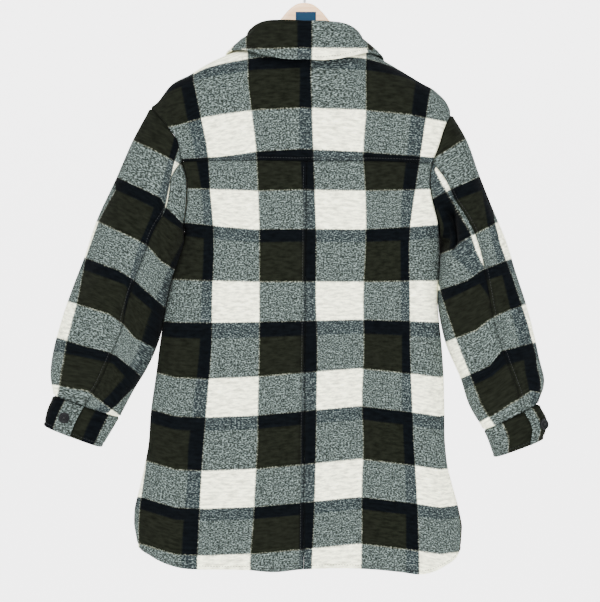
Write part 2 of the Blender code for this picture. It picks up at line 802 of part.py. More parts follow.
def collar_stand(neck, collar):
    """The band between the neck seam and the foot of the collar's leaf."""
    top = collar.points[0] - WALL * collar.normals[0]
    into_neck = (NECK_MIDDLE - neck) * np.array([1, 0, 1])
    low = neck + STAND_RISE * unit(into_neck)
    rows = [low + (top - low) * t for t in (0, 0.5, 1)]
    points = np.stack(rows)
    stand = Panel.around("collar_stand", points, points * np.array([0, 0, 1]))
    stand.normals[-1] = -collar.normals[0]
    return stand


def front_placket(front):
    """The strip down the front edge, made from the front's points and moved out."""
    z = front.points[:, -1, 2]
    z = np.concatenate([z[:-1], [z[-1] - 3 * MM]])
    x = np.array([PLACKET_LEFT, 0, PLACKET_RIGHT])
    grid_x = np.tile(x, (len(z), 1))
    grid_z = np.tile(z[:, None], (1, len(x)))
    points = front_points(grid_x, grid_z)
    panel = body_panel("front_placket", points)
    out = points + (WALL + LAYER_GAP) * panel.normals
    return body_panel("front_placket", out)


def square_to(line, direction):
    """Take out of a direction what runs along the line."""
    along = unit(np.gradient(line, axis=0))
    return unit(direction - np.sum(direction * along, axis=-1, keepdims=True) * along)


def trimmed(points):
    """Draw all four edges of a grid in by half the seam's gap."""
    cut = points.copy()
    for axis in (0, 1):
        lines = np.moveaxis(points, axis, 0)
        target = np.moveaxis(cut, axis, 0)
        target[0] += SEAM_GAP / 2 * square_to(lines[0], lines[1] - lines[0])
        target[-1] += SEAM_GAP / 2 * square_to(lines[-1], lines[-2] - lines[-1])
    return cut


def grid_faces(index):
    """Quads of a grid of vertex numbers."""
    corners = np.stack([index[:-1, :-1], index[:-1, 1:], index[1:, 1:], index[1:, :-1]], axis=-1)
    return corners.reshape(-1, 4).tolist()


def rim(index):
    """Vertex numbers once round a grid's edge."""
    return np.concatenate([index[0, :-1], index[:-1, -1], index[-1, :0:-1], index[:0:-1, 0]])


def material(name, colour, roughness, metallic=0.0):
    """A plain Principled material."""
    made = bpy.data.materials.new(name)
    made.use_nodes = True
    shader = made.node_tree.nodes["Principled BSDF"]
    shader.inputs["Base Color"].default_value = (*colour, 1)
    shader.inputs["Roughness"].default_value = roughness
    shader.inputs["Metallic"].default_value = metallic
    made.diffuse_color = (*colour, 1)
    return made


def add_object(name, mesh, collection, finish):
    """Put a mesh in the collection with its finish, shaded smooth."""
    mesh.materials.clear()
    mesh.materials.append(finish)
    mesh.shade_smooth()
    mesh.set_sharp_from_angle(angle=np.radians(40))
    made = bpy.data.objects.new(name, mesh)
    collection.objects.link(made)
    return made


def closed_mesh(name, vertices, faces):
    """Make a mesh and turn its faces outward."""
    mesh = bpy.data.meshes.new(name)
    mesh.from_pydata(vertices, [], faces)
    work = bmesh.new()
    work.from_mesh(mesh)
    bmesh.ops.recalc_face_normals(work, faces=work.faces)
    work.to_mesh(mesh)
    work.free()
    return mesh


def add_wall(panel, collection):
    """Build a panel as a closed wall of cloth."""
    outer = trimmed(panel.points)
    inner = outer - WALL * panel.normals
    rows, columns = outer.shape[:2]
    outside = np.arange(rows * columns).reshape(rows, columns)
    inside = outside + rows * columns
    around, behind = rim(outside), rim(inside)
    edge = np.stack([around, np.roll(around, -1), np.roll(behind, -1), behind], axis=-1)
    faces = grid_faces(outside) + grid_faces(inside) + edge.tolist()
    vertices = np.concatenate([outer.reshape(-1, 3), inner.reshape(-1, 3)]).tolist()
    colour = COLOURS.get(panel.name, CLOTH)
    finish = material(f"{panel.name}_cloth", colour, 0.9)
    add_object(panel.name, closed_mesh(panel.name, vertices, faces), collection, finish)


def add_hanger_wood(collection):
    """The arms of the hanger, lofted from rounded upright sections."""
    half = np.array(HANGER_STATIONS, float) * MM
    x = np.concatenate([-half[:0:-1], half])
    crown = smooth(np.abs(x), HANGER_CROWN["x"], HANGER_CROWN["z"])
    slope = (ridge_z(x + MM) - ridge_z(x - MM)) / (2 * MM)
    under_cloth = ridge_z(x) - HANGER_CLEARANCE * np.sqrt(1 + slope**2)
    inside_neck = np.abs(x) <= HANGER_CROWN["x"][-1]
    top = np.where(inside_neck, crown - HANGER_TILT * x * 0.5, under_cloth)
    height = smooth(np.abs(x), HANGER_HEIGHT["x"], HANGER_HEIGHT["height"])
    thick = HANGER_HALF_THICK * (1 - 0.25 * ease((np.abs(x) / HANGER_END - 0.5) * 2))
    angles = np.linspace(0, 2 * np.pi, 12, endpoint=False) + np.pi / 12
    wide = np.sign(np.cos(angles)) * np.abs(np.cos(angles)) ** 0.5
    tall = np.sign(np.sin(angles)) * np.abs(np.sin(angles)) ** 0.5
    reach = np.abs(tall).max()
    rings = np.empty((len(x), len(angles), 3))
    rings[..., 0] = x[:, None]
    rings[..., 1] = thick[:, None] * wide
    rings[..., 2] = (top - height / 2)[:, None] + (height / 2)[:, None] * tall / reach
    index = np.arange(rings.shape[0] * rings.shape[1]).reshape(rings.shape[:2])
    looped = np.concatenate([index, index[:, :1]], axis=1)
    faces = grid_faces(looped) + [index[0].tolist(), index[-1].tolist()]
    mesh = closed_mesh("hanger_wood", rings.reshape(-1, 3).tolist(), faces)
    add_object("hanger_wood", mesh, collection, material("pale_wood", COLOURS["hanger_wood"], 0.45))


def hook_route():
    """Centre line of the hook: up its stem, out to the ring and over the top."""
    radius = HOOK_INNER_RADIUS + HOOK_WIRE_RADIUS
    centre = -HOOK_INNER_RADIUS
    first = np.radians(-50)
    turn = np.linspace(first, np.radians(205), 30)
    ring = np.stack([radius * np.cos(turn), centre + radius * np.sin(turn)], axis=-1)
    meet = ring[0, 1] - ring[0, 0] * np.cos(first) / -np.sin(first)
    foot = np.array([0, HANGER_CROWN["z"][0] + SEAM_GAP])
    low = np.array([0, meet - 7 * MM])
    bend = np.array([0, meet])
    t = np.linspace(0, 1, 7)[:-1, None]
    curve = (1 - t) ** 2 * low + 2 * t * (1 - t) * bend + t**2 * ring[0]
    return np.concatenate([[foot], curve, ring])


def add_hook(collection):
    """The wire hook as a round bar along its route."""
    route = hook_route()
    curve = bpy.data.curves.new("hanger_hook", "CURVE")
    curve.dimensions = "3D"
    curve.bevel_depth = HOOK_WIRE_RADIUS
    curve.bevel_resolution = 2
    curve.use_fill_caps = True
    line = curve.splines.new("POLY")
    line.points.add(len(route) - 1)
    for point, (x, z) in zip(line.points, route):
        point.co = (x, 0, z, 1)
    curve.materials.append(material("hook_steel", COLOURS["hanger_hook"], 0.25, 1.0))
    hook = bpy.data.objects.new("hanger_hook", curve)
    collection.objects.link(hook)


def cylinder(name, radius, depth, sides, collection):
    """A closed upright cylinder as an object."""
    mesh = bpy.data.meshes.new(name)
    work = bmesh.new()
    bmesh.ops.create_cone(
        work, cap_ends=True, segments=sides, radius1=radius, radius2=radius, depth=depth
    )
    work.to_mesh(mesh)
    work.free()
    made = bpy.data.objects.new(name, mesh)
    collection.objects.link(made)
    return made


def button_mesh(cutters):
    """A round button with four sewing holes through it."""
    disc = cylinder("button_blank", BUTTON_RADIUS, BUTTON_DEPTH, 24, cutters)
    drills = []
    for across in (-1, 1):
        for up in (-1, 1):
            drill = cylinder("button_drill", BUTTON_HOLE_RADIUS, 3 * BUTTON_DEPTH, 8, cutters)
            drill.location = Vector((across, up, 0)) * (BUTTON_HOLE_SPACING / 2)
            cut = disc.modifiers.new("hole", "BOOLEAN")
            cut.operation = "DIFFERENCE"
            cut.object = drill
            drills.append(drill)
    bpy.context.view_layer.update()
    evaluated = disc.evaluated_get(bpy.context.evaluated_depsgraph_get())
    mesh = bpy.data.meshes.new_from_object(evaluated)
    mesh.name = "button"
    for used in [disc, *drills]:
        bpy.data.objects.remove(used)
    return mesh


def add_button(name, mesh, panel, row, column, collection, finish):
    """Lay a button on a panel's outer face, at a place on its grid."""
    row_low, column_low = int(row), int(column)
    cell = panel.points[row_low:row_low + 2, column_low:column_low + 2]
    turn = panel.normals[row_low:row_low + 2, column_low:column_low + 2]
    weights = np.outer([1 - row % 1, row % 1], [1 - column % 1, column % 1])[..., None]
    centre = Vector(np.sum(cell * weights, axis=(0, 1)))
    facing = Vector(np.sum(turn * weights, axis=(0, 1))).normalized()
    made = bpy.data.objects.new(name, mesh)
    made.rotation_euler = facing.to_track_quat("Z", "Y").to_euler()
    made.location = centre + facing * (BUTTON_DEPTH / 2 + LAYER_GAP)
    collection.objects.link(made)
    if not mesh.materials:
        mesh.materials.append(finish)


def row_at(panel, column, z):
    """Row of a panel's column at a height, as a broken number."""
    heights = panel.points[:, column, 2]
    return float(np.interp(z, heights, np.arange(len(heights))))


def build():
    """Make the whole garment and its hanger."""
    for old in list(bpy.data.objects):
        bpy.data.objects.remove(old)
    garment = bpy.data.collections.new("shacket_on_hanger")
    cutters = bpy.data.collections.new("cutters")
    bpy.context.scene.collection.children.link(garment)
    bpy.context.scene.collection.children.link(cutters)

    back_left, back_right = back_panels()
    front_left, front_right = front_panels()
    yoke = back_yoke()

    share(back_left, (slice(None), -1), back_right, (slice(None), 0))
    share(back_left, (-1, slice(None)), yoke, (0, slice(0, HALF_CELLS + 1)))
    share(back_right, (-1, slice(None)), yoke, (0, slice(HALF_CELLS, None)))
    share(front_left, (slice(None), -1), front_right, (slice(None), 0))
    shoulder = slice(0, SHOULDER_CELLS + 1)
    far_shoulder = slice(-SHOULDER_CELLS - 1, None)
    share(front_left, (-1, shoulder), yoke, (-1, shoulder))
    share(front_right, (-1, far_shoulder), yoke, (-1, far_shoulder))
    skirt = slice(0, SKIRT_CELLS + 1)
    share(back_left, (skirt, 0), front_left, (skirt, 0))
    share(back_right, (skirt, -1), front_right, (skirt, -1))

    left_body = (yoke, back_left, front_left)
    right_body = (yoke, back_right, front_right)
    left = sleeve("left", left_body, LEFT_SLEEVE, LEFT_SLEEVE_FOLDS, LEFT_ARMHOLE, 0)
    right = sleeve("right", right_body, RIGHT_SLEEVE, RIGHT_SLEEVE_FOLDS, RIGHT_ARMHOLE, -1)
    cuffs = [cuff("cuff_left", LEFT_CUFF, LEFT_FLAP_EDGE), cuff("cuff_right", RIGHT_CUFF, RIGHT_FLAP_EDGE)]
    placket = front_placket(front_left)
    neck = halved(neck_loop(yoke, front_left, front_right))
    at = places_round(neck)
    collar = collar_fall(at)
    stand = collar_stand(neck, collar)

    body = [yoke, back_left, back_right, front_left, front_right, placket]
    for panel in body + left + right + cuffs + [stand, collar]:
        add_wall(panel, garment)

    add_hanger_wood(garment)
    add_hook(garment)

    mesh = button_mesh(cutters)
    finish = material("button_resin", COLOURS["button"], 0.35)
    for number in range(FRONT_BUTTONS):
        row = row_at(placket, 1, FRONT_BUTTON_TOP - number * FRONT_BUTTON_PITCH)
        name = f"button_front_{number + 1}"
        add_button(name, mesh, placket, row, FRONT_BUTTON_COLUMN, garment, finish)
    for name, band, inset in zip(("button_cuff_left", "button_cuff_right"), cuffs, CUFF_BUTTON_INSETS):
        add_button(name, mesh, band, 1.0, CUFF_CELLS - inset, garment, finish)


build()
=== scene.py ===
"""Looks of a plaid shirt jacket on a wooden hanger, seen from behind.

Frame: the origin is where the hook hangs, +Z is up and +Y points out of the
garment's front. Tables are in millimetres and everything else is in metres.

Each cloth piece is a thin closed wall on the same surface as its solid, with
finer cells, creases, and dips and ridges beside its seams. Every piece has a UV
map named grain that holds the place of each point on the woven cloth, so the
plaid follows the cloth round the body and down the sleeves.
"""

from __future__ import annotations

import logging
from dataclasses import dataclass, field
from enum import Enum

import bmesh
import bpy
import numpy as np
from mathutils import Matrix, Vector


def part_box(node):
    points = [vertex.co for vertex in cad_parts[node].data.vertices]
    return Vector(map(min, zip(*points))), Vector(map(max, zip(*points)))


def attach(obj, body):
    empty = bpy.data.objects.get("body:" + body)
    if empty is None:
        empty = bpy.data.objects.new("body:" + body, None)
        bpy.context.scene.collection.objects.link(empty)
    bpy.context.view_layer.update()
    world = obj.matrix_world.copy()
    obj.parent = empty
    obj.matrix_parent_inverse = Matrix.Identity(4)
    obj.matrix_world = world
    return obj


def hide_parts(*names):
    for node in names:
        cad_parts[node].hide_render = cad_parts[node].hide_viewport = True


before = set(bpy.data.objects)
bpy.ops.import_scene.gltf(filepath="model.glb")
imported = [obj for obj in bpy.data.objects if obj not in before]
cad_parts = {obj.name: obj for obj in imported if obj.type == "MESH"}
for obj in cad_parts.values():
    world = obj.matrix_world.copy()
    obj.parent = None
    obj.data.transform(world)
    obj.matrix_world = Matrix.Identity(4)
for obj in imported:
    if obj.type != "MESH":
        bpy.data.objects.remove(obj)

log = logging.getLogger("shirt_jacket")
Array = np.ndarray
Table = dict[str, Array]
Colour = tuple[int, int, int]
Mesh = bpy.types.Mesh
Piece = bpy.types.Object
Finish = bpy.types.Material

MM = 0.001
TINY = 1e-9

# Cloth
WALL = 2.5 * MM
SEAM_GAP = 0.4 * MM
LAYER_GAP = 0.6 * MM
LAP_GAP = 1.0 * MM
FULLNESS = 2.6
SHOULDER_ROLL = 45 * MM
ARMHOLE_DEPTH = 34 * MM
UNDERARM_OWN = 180 * MM
YOKE_OVER_FRONT = 30 * MM
FRONT_HEM_RISE = 8 * MM
VENT_TOP = -850 * MM

# Plaid: the widths of its stripes across and down, as woven
WARP_NAVY, WARP_WHITE, WARP_OLIVE = 18, 78, 75
WEFT_WHITE, WEFT_NAVY, WEFT_OLIVE = 59, 22, 58
WARP_REPEAT = WARP_NAVY + WARP_WHITE + WARP_OLIVE
WEFT_REPEAT = WEFT_WHITE + WEFT_NAVY + WEFT_OLIVE
GRAIN_UNIT = 100

# Where the photographer stood
EYE = np.array([-7 * MM, -3200 * MM, -519 * MM])
FRAME_HEIGHT = 903 * MM
SENSOR = 36.0


def table(columns: str, *rows: tuple) -> Table:
    """Give each named column of rows in millimetres as an array in metres."""
    return {name: MM * np.array(column, float) for name, column in zip(columns.split(), zip(*rows))}


# Shoulder line seen from behind, run on above the neck hole
RIDGE = table(
    "x z",
    (-232, -230), (-221, -221), (-202, -197), (-172, -180), (-142, -162), (-115, -150),
    (-86, -140), (-45, -127), (0, -120), (45, -127), (86, -140), (113, -156),
    (143, -173), (173, -191), (199, -207), (215, -226), (221, -240),
)

# Armhole seam from the shoulder tip down to the underarm
LEFT_ARMHOLE = table(
    "x z",
    (-232, -230), (-217, -245), (-202, -263), (-191, -278), (-185, -300), (-181, -318),
    (-176, -338), (-175, -356), (-176, -375), (-180, -395), (-182, -412),
)
RIGHT_ARMHOLE = table(
    "x z",
    (221, -240), (214, -251), (208, -263), (203, -278), (198, -293), (193, -305),
    (188, -323), (187, -353), (190, -368), (194, -383), (199, -401), (202, -420),
)

# Side seams from the underarm down, run on straight past the hem's corners
SIDES = table(
    "z left right",
    (-405, -181, 200), (-420, -182, 202), (-460, -193, 203), (-517, -207, 200), (-577, -217, 206),
    (-622, -223, 209), (-684, -232, 211), (-735, -236, 212), (-762, -241, 215), (-800, -250, 225),
    (-825, -256, 232), (-855, -257, 238), (-885, -256, 238), (-924, -254, 236),
)

# Half depth of the body on its middle line
DEPTH = table(
    "z depth",
    (-120, 44), (-200, 46), (-300, 49), (-420, 47), (-520, 42), (-640, 42), (-760, 46), (-924, 50),
)

# Back hem, from the left corner of the shirt tail to the right one
HEM = table(
    "x z",
    (-249, -884), (-244, -890), (-232, -897), (-217, -905), (-187, -914), (-150, -916), (-82, -918),
    (-44, -920), (-7, -916), (53, -914), (98, -917), (143, -921), (172, -924), (199, -918),
    (211, -912), (223, -905), (230, -896), (234, -884),
)
LEFT_HEM_CORNER = (-249 * MM, -884 * MM)
RIGHT_HEM_CORNER = (234 * MM, -884 * MM)

YOKE_SEAM = table("x z", (-240, -313), (-90, -311), (0, -312), (90, -312), (240, -316))
CENTRE_BACK = table("z x", (-924, -2), (-600, 0), (-300, 3))
CENTRE_FRONT = 6 * MM

BACK_NECK = table("x z", (-86, -140), (-60, -147), (-30, -151), (0, -152), (30, -151), (60, -147), (86, -140))
FRONT_NECK = table("x z", (80, -172), (68, -196), (48, -214), (24, -225), (0, -228))

# Long soft folds: the line each one follows, its reach to each side and its crest
FOLD_COLUMNS = "x_top z_top x_low z_low half_width crest"
BACK_FOLDS = table(
    FOLD_COLUMNS,
    (-120, -330, -166, -930, 34, 7),
    (-60, -420, -92, -930, 30, -6),
    (40, -520, 28, -930, 40, 4),
    (150, -330, 104, -930, 34, -8),
    (176, -420, 186, -930, 26, 8),
)
FRONT_FOLDS = table(
    FOLD_COLUMNS,
    (-120, -330, -150, -930, 36, 6),
    (-90, -420, -84, -930, 28, -5),
    (96, -400, 90, -930, 30, -6),
    (130, -330, 160, -930, 34, 6),
)

# Creases: both ends of each, its reach to each side and its lift. Those of the
# back give way to those of the front over a depth about the middle plane.
CREASE_TURN = 24 * MM
CREASE_COLUMNS = "x_a z_a x_b z_b half_width lift"
BACK_CREASES = table(
    CREASE_COLUMNS,
    (-176, -352, -150, -470, 9, 1.6),
    (-166, -350, -128, -560, 13, -1.8),
    (186, -372, 168, -520, 10, 1.8),
    (176, -380, 142, -600, 14, -2.0),
    (-60, -335, -52, -430, 12, 1.0),
    (62, -340, 70, -450, 14, -1.1),
    (-215, -640, -120, -700, 15, 1.5),
    (-205, -700, -150, -735, 10, -1.3),
    (196, -610, 120, -655, 14, 1.4),
    (206, -700, 150, -760, 12, -1.5),
    (-30, -600, -48, -820, 18, 1.3),
    (52, -690, 60, -880, 16, -1.5),
    (-170, -790, -176, -905, 13, 1.7),
    (-112, -800, -118, -912, 11, -1.4),
    (118, -780, 130, -915, 13, 1.6),
    (-14, -820, -20, -915, 12, -1.0),
)
YOKE_CREASES = table(
    CREASE_COLUMNS,
    (-120, -178, -176, -262, 11, -1.3),
    (-90, -200, -120, -300, 15, 0.9),
    (104, -186, 168, -258, 12, -1.4),
    (84, -212, 110, -302, 14, 0.9),
    (-20, -205, -36, -290, 20, -0.8),
    (34, -240, 24, -306, 16, 0.7),
)
FRONT_CREASES = table(
    CREASE_COLUMNS,
    (-168, -300, -110, -420, 12, -1.8),
    (-178, -352, -150, -480, 10, 1.6),
    (-60, -420, -72, -560, 14, 1.4),
    (-180, -600, -90, -660, 14, -1.5),
    (-120, -760, -128, -900, 13, 1.6),
    (-60, -740, -66, -905, 12, -1.3),
    (176, -310, 120, -430, 13, -1.8),
    (184, -372, 160, -520, 11, 1.7),
    (70, -430, 82, -580, 15, 1.3),
    (186, -620, 90, -690, 13, -1.6),
    (110, -770, 120, -905, 12, 1.5),
    (172, -780, 184, -905, 12, -1.4),
)

# Sleeve sections from the armhole to the cuff: the outer and the inner
# silhouette point, the half depth, and how far across the back seam lies.
SLEEVE_COLUMNS = "x_out z_out x_in z_in depth seam"
LEFT_SLEEVE = table(
    SLEEVE_COLUMNS,
    (-232, -230, -178, -412, 34, 460),
    (-257, -277, -178, -428, 42, 640),
    (-287, -345, -181, -440, 49, 630),
    (-311, -397, -187.5, -458, 52, 645),
    (-329, -450, -199.5, -490, 51, 635),
    (-347, -497, -209, -535, 49, 615),
    (-364, -547, -219, -578, 47, 620),
    (-377, -597, -238, -622, 45, 610),
    (-380, -634, -257, -654, 41, 585),
    (-376, -660, -278, -693, 29, 490),
)
RIGHT_SLEEVE = table(
    SLEEVE_COLUMNS,
    (221, -240, 202, -420, 34, 417),
    (244, -280, 202, -432, 42, 520),
    (262, -330, 202, -446, 48, 450),
    (284, -387, 202, -462, 51, 405),
    (300, -425, 201, -478, 51, 400),
    (316, -475, 199.5, -515, 49, 390),
    (334, -532, 209, -575, 47, 425),
    (350, -600, 234, -636, 45, 425),
    (358, -645, 249, -680, 40, 370),
    (349, -673, 269, -712, 27, 310),
)
FRONT_SEAM_FRACTION = 0.72

# Folds of the sleeves: how far down and round, in thousandths of the length
# and of a turn from the outer edge over the back, their reach and their crest
SLEEVE_FOLD_COLUMNS = "down round reach_down reach_round crest"
LEFT_SLEEVE_FOLDS = table(
    SLEEVE_FOLD_COLUMNS,
    (300, 180, 120, 70, 5),
    (480, 110, 150, 60, -5),
    (620, 250, 140, 60, 5),
    (780, 160, 90, 60, 5),
    (900, 90, 70, 60, 6),
)
RIGHT_SLEEVE_FOLDS = table(
    SLEEVE_FOLD_COLUMNS,
    (280, 160, 120, 60, 4),
    (460, 260, 150, 60, -5),
    (640, 120, 150, 60, 5),
    (830, 230, 90, 60, 5),
    (920, 90, 60, 60, 5),
)

# Creases of the sleeves on the back and on the front
LEFT_SLEEVE_CREASES = table(
    CREASE_COLUMNS,
    (-240, -246, -200, -292, 7, 1.3),
    (-246, -262, -206, -310, 7, -1.4),
    (-300, -398, -236, -430, 10, -1.6),
    (-262, -470, -214, -452, 9, 1.8),
    (-330, -470, -268, -500, 11, 1.6),
    (-352, -556, -300, -590, 12, -2.0),
    (-300, -560, -238, -596, 10, 1.8),
    (-366, -610, -330, -652, 9, 2.2),
    (-350, -612, -318, -660, 7, -2.4),
    (-296, -640, -276, -682, 8, 1.8),
    (-318, -628, -300, -676, 6, -1.6),
)
LEFT_SLEEVE_FRONT_CREASES = table(
    CREASE_COLUMNS,
    (-244, -300, -206, -360, 9, 1.5),
    (-290, -400, -220, -440, 11, -1.9),
    (-320, -480, -240, -520, 12, 1.8),
    (-350, -570, -270, -600, 11, -1.9),
    (-360, -620, -336, -662, 8, 2.1),
    (-310, -630, -296, -684, 7, -2.0),
)
RIGHT_SLEEVE_CREASES = table(
    CREASE_COLUMNS,
    (216, -362, 212, -458, 13, -30),
    (232, -268, 214, -330, 8, 1.3),
    (246, -300, 206, -352, 9, -1.5),
    (290, -412, 232, -452, 10, 1.7),
    (306, -462, 240, -486, 11, -1.9),
    (330, -540, 262, -586, 12, 1.8),
    (346, -604, 312, -640, 10, -2.2),
    (296, -600, 246, -632, 10, 1.6),
    (352, -622, 338, -664, 7, 2.2),
    (318, -640, 300, -690, 7, -1.9),
    (286, -652, 276, -704, 8, 1.6),
)
RIGHT_SLEEVE_FRONT_CREASES = table(
    CREASE_COLUMNS,
    (238, -310, 212, -380, 9, 1.5),
    (286, -420, 224, -460, 11, -1.8),
    (314, -500, 240, -540, 12, 1.8),
    (340, -590, 270, -620, 11, -1.9),
    (344, -632, 324, -676, 8, 2.0),
    (300, -650, 292, -700, 7, -1.9),
)

# Cuff bands from the sleeve to the hand
CUFF_COLUMNS = "x_out z_out x_in z_in depth"
LEFT_CUFF = table(
    CUFF_COLUMNS,
    (-376, -660, -278, -693, 29), (-386, -682, -292, -716, 30), (-391, -705, -305, -738, 31),
)
RIGHT_CUFF = table(
    CUFF_COLUMNS,
    (349, -673, 269, -712, 27), (362, -700, 277, -732, 29), (355, -727, 284, -753, 29),
)

# Collar on one side, from centre back to its front end: how far round, the
# fold's crest at the neck side, and the edge of the fall
COLLAR = table(
    "round fold_x fold_y fold_z edge_x edge_y edge_z",
    (0, 0, -46, -105, 0, -61, -163.5),
    (210, 32, -44, -104, 34, -60, -163),
    (400, 58, -35, -105.5, 64, -52, -157),
    (570, 73, -18, -112, 97, -28, -147.5),
    (700, 79, 2, -121, 118, 4, -150.5),
    (775, 77, 18, -133, 120, 30, -160),
    (850, 72, 32, -148, 117, 47, -177),
    (1000, 44, 47, -176, 92, 63, -224),
    (1120, 10, 53, -196, 62, 67, -262),
)

# Hanger: its crown inside the neck, and the height of the wood
HANGER_CROWN = table("x z", (0, -72), (12, -74), (24, -83), (36, -97), (50, -113), (66, -131), (84, -149))
HANGER_HEIGHT = table("x height", (0, 44), (36, 38), (84, 31), (150, 26), (205, 20))

# Lines between the plaid's columns on the back: height, then the places of the
# lines olive-navy, navy-white, white-olive and so on
BACK_WARP_VALUES = np.array([0, 18, 96, 171, 189, 267, 342, 360], float)
BACK_WARP_LINES = table(
    "z a b c d e f g h",
    (-187, -187, -167, -85, -7, 9, 92, 166, 190),
    (-232, -179, -158, -80, -8, 11, 92, 161, 184),
    (-292, -166, -146, -73, -7, 13, 88, 154, 175),
    (-352, -155, -142, -70, -3, 15, 91, 147, 166),
    (-412, -152, -137, -68, -1, 17, 92, 144, 158),
    (-517, -155, -139, -68, -2, 17, 88, 145, 158),
    (-592, -158, -140, -68, -2, 19, 89, 146, 158),
    (-667, -166, -146, -70, -4, 18, 86, 146, 161),
    (-742, -175, -152, -71, -5, 17, 88, 149, 164),
    (-787, -176, -155, -74, -5, 16, 86, 151, 167),
    (-847, -181, -158, -77, -7, 14, 86, 152, 170),
    (-907, -185, -161, -82, -8, 11, 85, 152, 172),
)

# Heights of the plaid's rows on the centre line, and their places on the cloth
BACK_WEFT = table(
    "z cloth",
    (-315, -37), (-352, 0), (-411, 59), (-430, 81), (-490, 139), (-549, 198), (-571, 220),
    (-627, 278), (-685, 337), (-705, 359), (-765, 417), (-822, 476), (-840, 498), (-892, 556), (-915, 578),
)
YOKE_WEFT = table("z cloth", (-150, -80), (-169, -58), (-229, 0), (-291, 59), (-313, 81))

# How far the rows hang below their height at the centre line, at places across
ROW_DROOP = table(
    "z a b c d e f g h i",
    (-157, 42, 28, 14, 3, 0, 3, 10, 20, 26),
    (-244, 42, 28, 14, 3, 0, 3, 10, 20, 26),
    (-300, 28, 22, 16, 4, 0, 4, 10, 16, 21),
    (-320, 4, 2, 2, 2, 0, 2, 2, 2, 2),
    (-406, -15, -12, -6, 1, 0, 1, -3, -7, -10),
    (-517, 0, 0, 0, 0, 0, 0, 0, 0, 0),
    (-637, -7, 7, 9, 6, 0, -8, 1, 7, -4),
    (-742, -9, 7, 9, 6, 0, -9, 0, 7, 3),
    (-907, -9, 7, 9, 6, 0, -9, 0, 7, 3),
)
ROW_DROOP_X = MM * np.array([-247, -194, -149, -74, -7, 83, 158, 203, 233], float)
FRONT_ROW_SHIFT = -8 * MM

Line = tuple[float, tuple[tuple[float, float], ...]]

# Rows on the sleeves: place on the cloth, then points from the outer edge inward
LEFT_SLEEVE_ROWS: tuple[Line, ...] = (
    (0, ((-257, -278), (-231, -290), (-185, -315))),
    (59, ((-281, -334), (-239, -353), (-215, -365), (-209, -378), (-181, -404))),
    (81, ((-287, -350), (-228, -378), (-220, -386), (-182, -413))),
    (139, ((-312, -399), (-248, -429), (-236, -436), (-215, -460), (-198, -470))),
    (198, ((-333, -453), (-280, -473), (-257, -487), (-224, -516))),
    (220, ((-337, -470), (-270, -494), (-261, -505), (-231, -531))),
    (278, ((-354, -520), (-324, -529), (-293, -539), (-273, -553), (-256, -574), (-242, -581))),
    (337, ((-371, -574), (-328, -588), (-300, -594), (-283, -601), (-259, -620), (-248, -630))),
    (359, ((-376, -594), (-310, -608), (-288, -612), (-266, -636), (-254, -652))),
    (417, ((-380, -644), (-347, -650), (-324, -655), (-316, -662), (-293, -679))),
)
RIGHT_SLEEVE_ROWS: tuple[Line, ...] = (
    (0, ((239, -277), (197, -303))),
    (59, ((261, -333), (223, -350), (203, -360))),
    (81, ((269, -352), (237, -363), (214, -374))),
    (139, ((289, -401), (257, -418), (226, -435))),
    (198, ((309, -456), (266, -473), (243, -489), (201, -503))),
    (220, ((317, -474), (274, -487), (242, -503), (211, -518))),
    (278, ((328, -525), (305, -533), (280, -545), (257, -563), (231, -573))),
    (337, ((347, -581), (295, -594), (278, -616), (249, -629))),
    (359, ((351, -603), (300, -615), (281, -632), (257, -643))),
    (417, ((355, -657), (340, -653), (316, -670), (281, -690))),
)

# Columns on the sleeves: place on the cloth, then points down the sleeve
LEFT_UPPER_COLUMNS: tuple[Line, ...] = (
    (96, ((-290, -315), (-283, -352), (-309, -399), (-328, -453), (-341, -520), (-357, -578), (-368, -643))),
    (171, (
        (-205, -310), (-218, -358), (-233, -398), (-248, -432), (-259, -472), (-266, -502), (-271, -532),
        (-272, -562), (-262, -600), (-240, -660),
    )),
)
LEFT_UNDER_COLUMNS: tuple[Line, ...] = (
    (104, (
        (-190, -318), (-206, -360), (-225, -405), (-236, -436), (-249, -475), (-265, -520), (-275, -566),
        (-296, -612), (-332, -668),
    )),
    (171, ((-172, -412), (-200, -460), (-211, -487), (-233, -540), (-250, -592), (-274, -637), (-312, -679))),
    (189, ((-150, -412), (-163, -460), (-177, -487), (-197, -540), (-213, -592), (-240, -634), (-286, -678))),
)
RIGHT_UPPER_COLUMNS: tuple[Line, ...] = (
    (189, ((278, -352), (286, -403), (293, -432), (313, -487), (335, -554), (347, -600), (353, -645))),
    (171, ((266, -352), (274, -403), (282, -432), (298, -487), (314, -554), (329, -607), (335, -645))),
    (112, ((180, -318), (208, -351), (240, -414), (250, -469), (266, -545), (282, -600), (294, -650))),
)
RIGHT_UNDER_COLUMNS: tuple[Line, ...] = (
    (189, ((234, -390), (249, -416), (256, -440), (265, -460), (281, -487), (330, -560))),
    # Painted shade: the 171 line starts far in, at about 198 to 206 across from height -368 down to -441, so
    # the navy column between it and the 189 line covers the hollow under the right arm. Its dark cloth there
    # stands in for the shade of that hollow.
    (171, ((198, -368), (200, -414), (206, -441), (232, -460), (258, -487), (300, -545))),
    (96, ((186, -440), (208, -518), (227, -577), (248, -630), (265, -675), (287, -709))),
)

# Collar: the plaid's columns, and the height of the line between its two rows
COLLAR_WARP = table("x cloth", (-88, 96), (-11, 171), (11, 189), (94, 267))
COLLAR_ROW_LINE = table(
    "x z", (-125, -168), (-112, -158), (-98, -141), (0, -139), (98, -140), (112, -156), (125, -168),
)

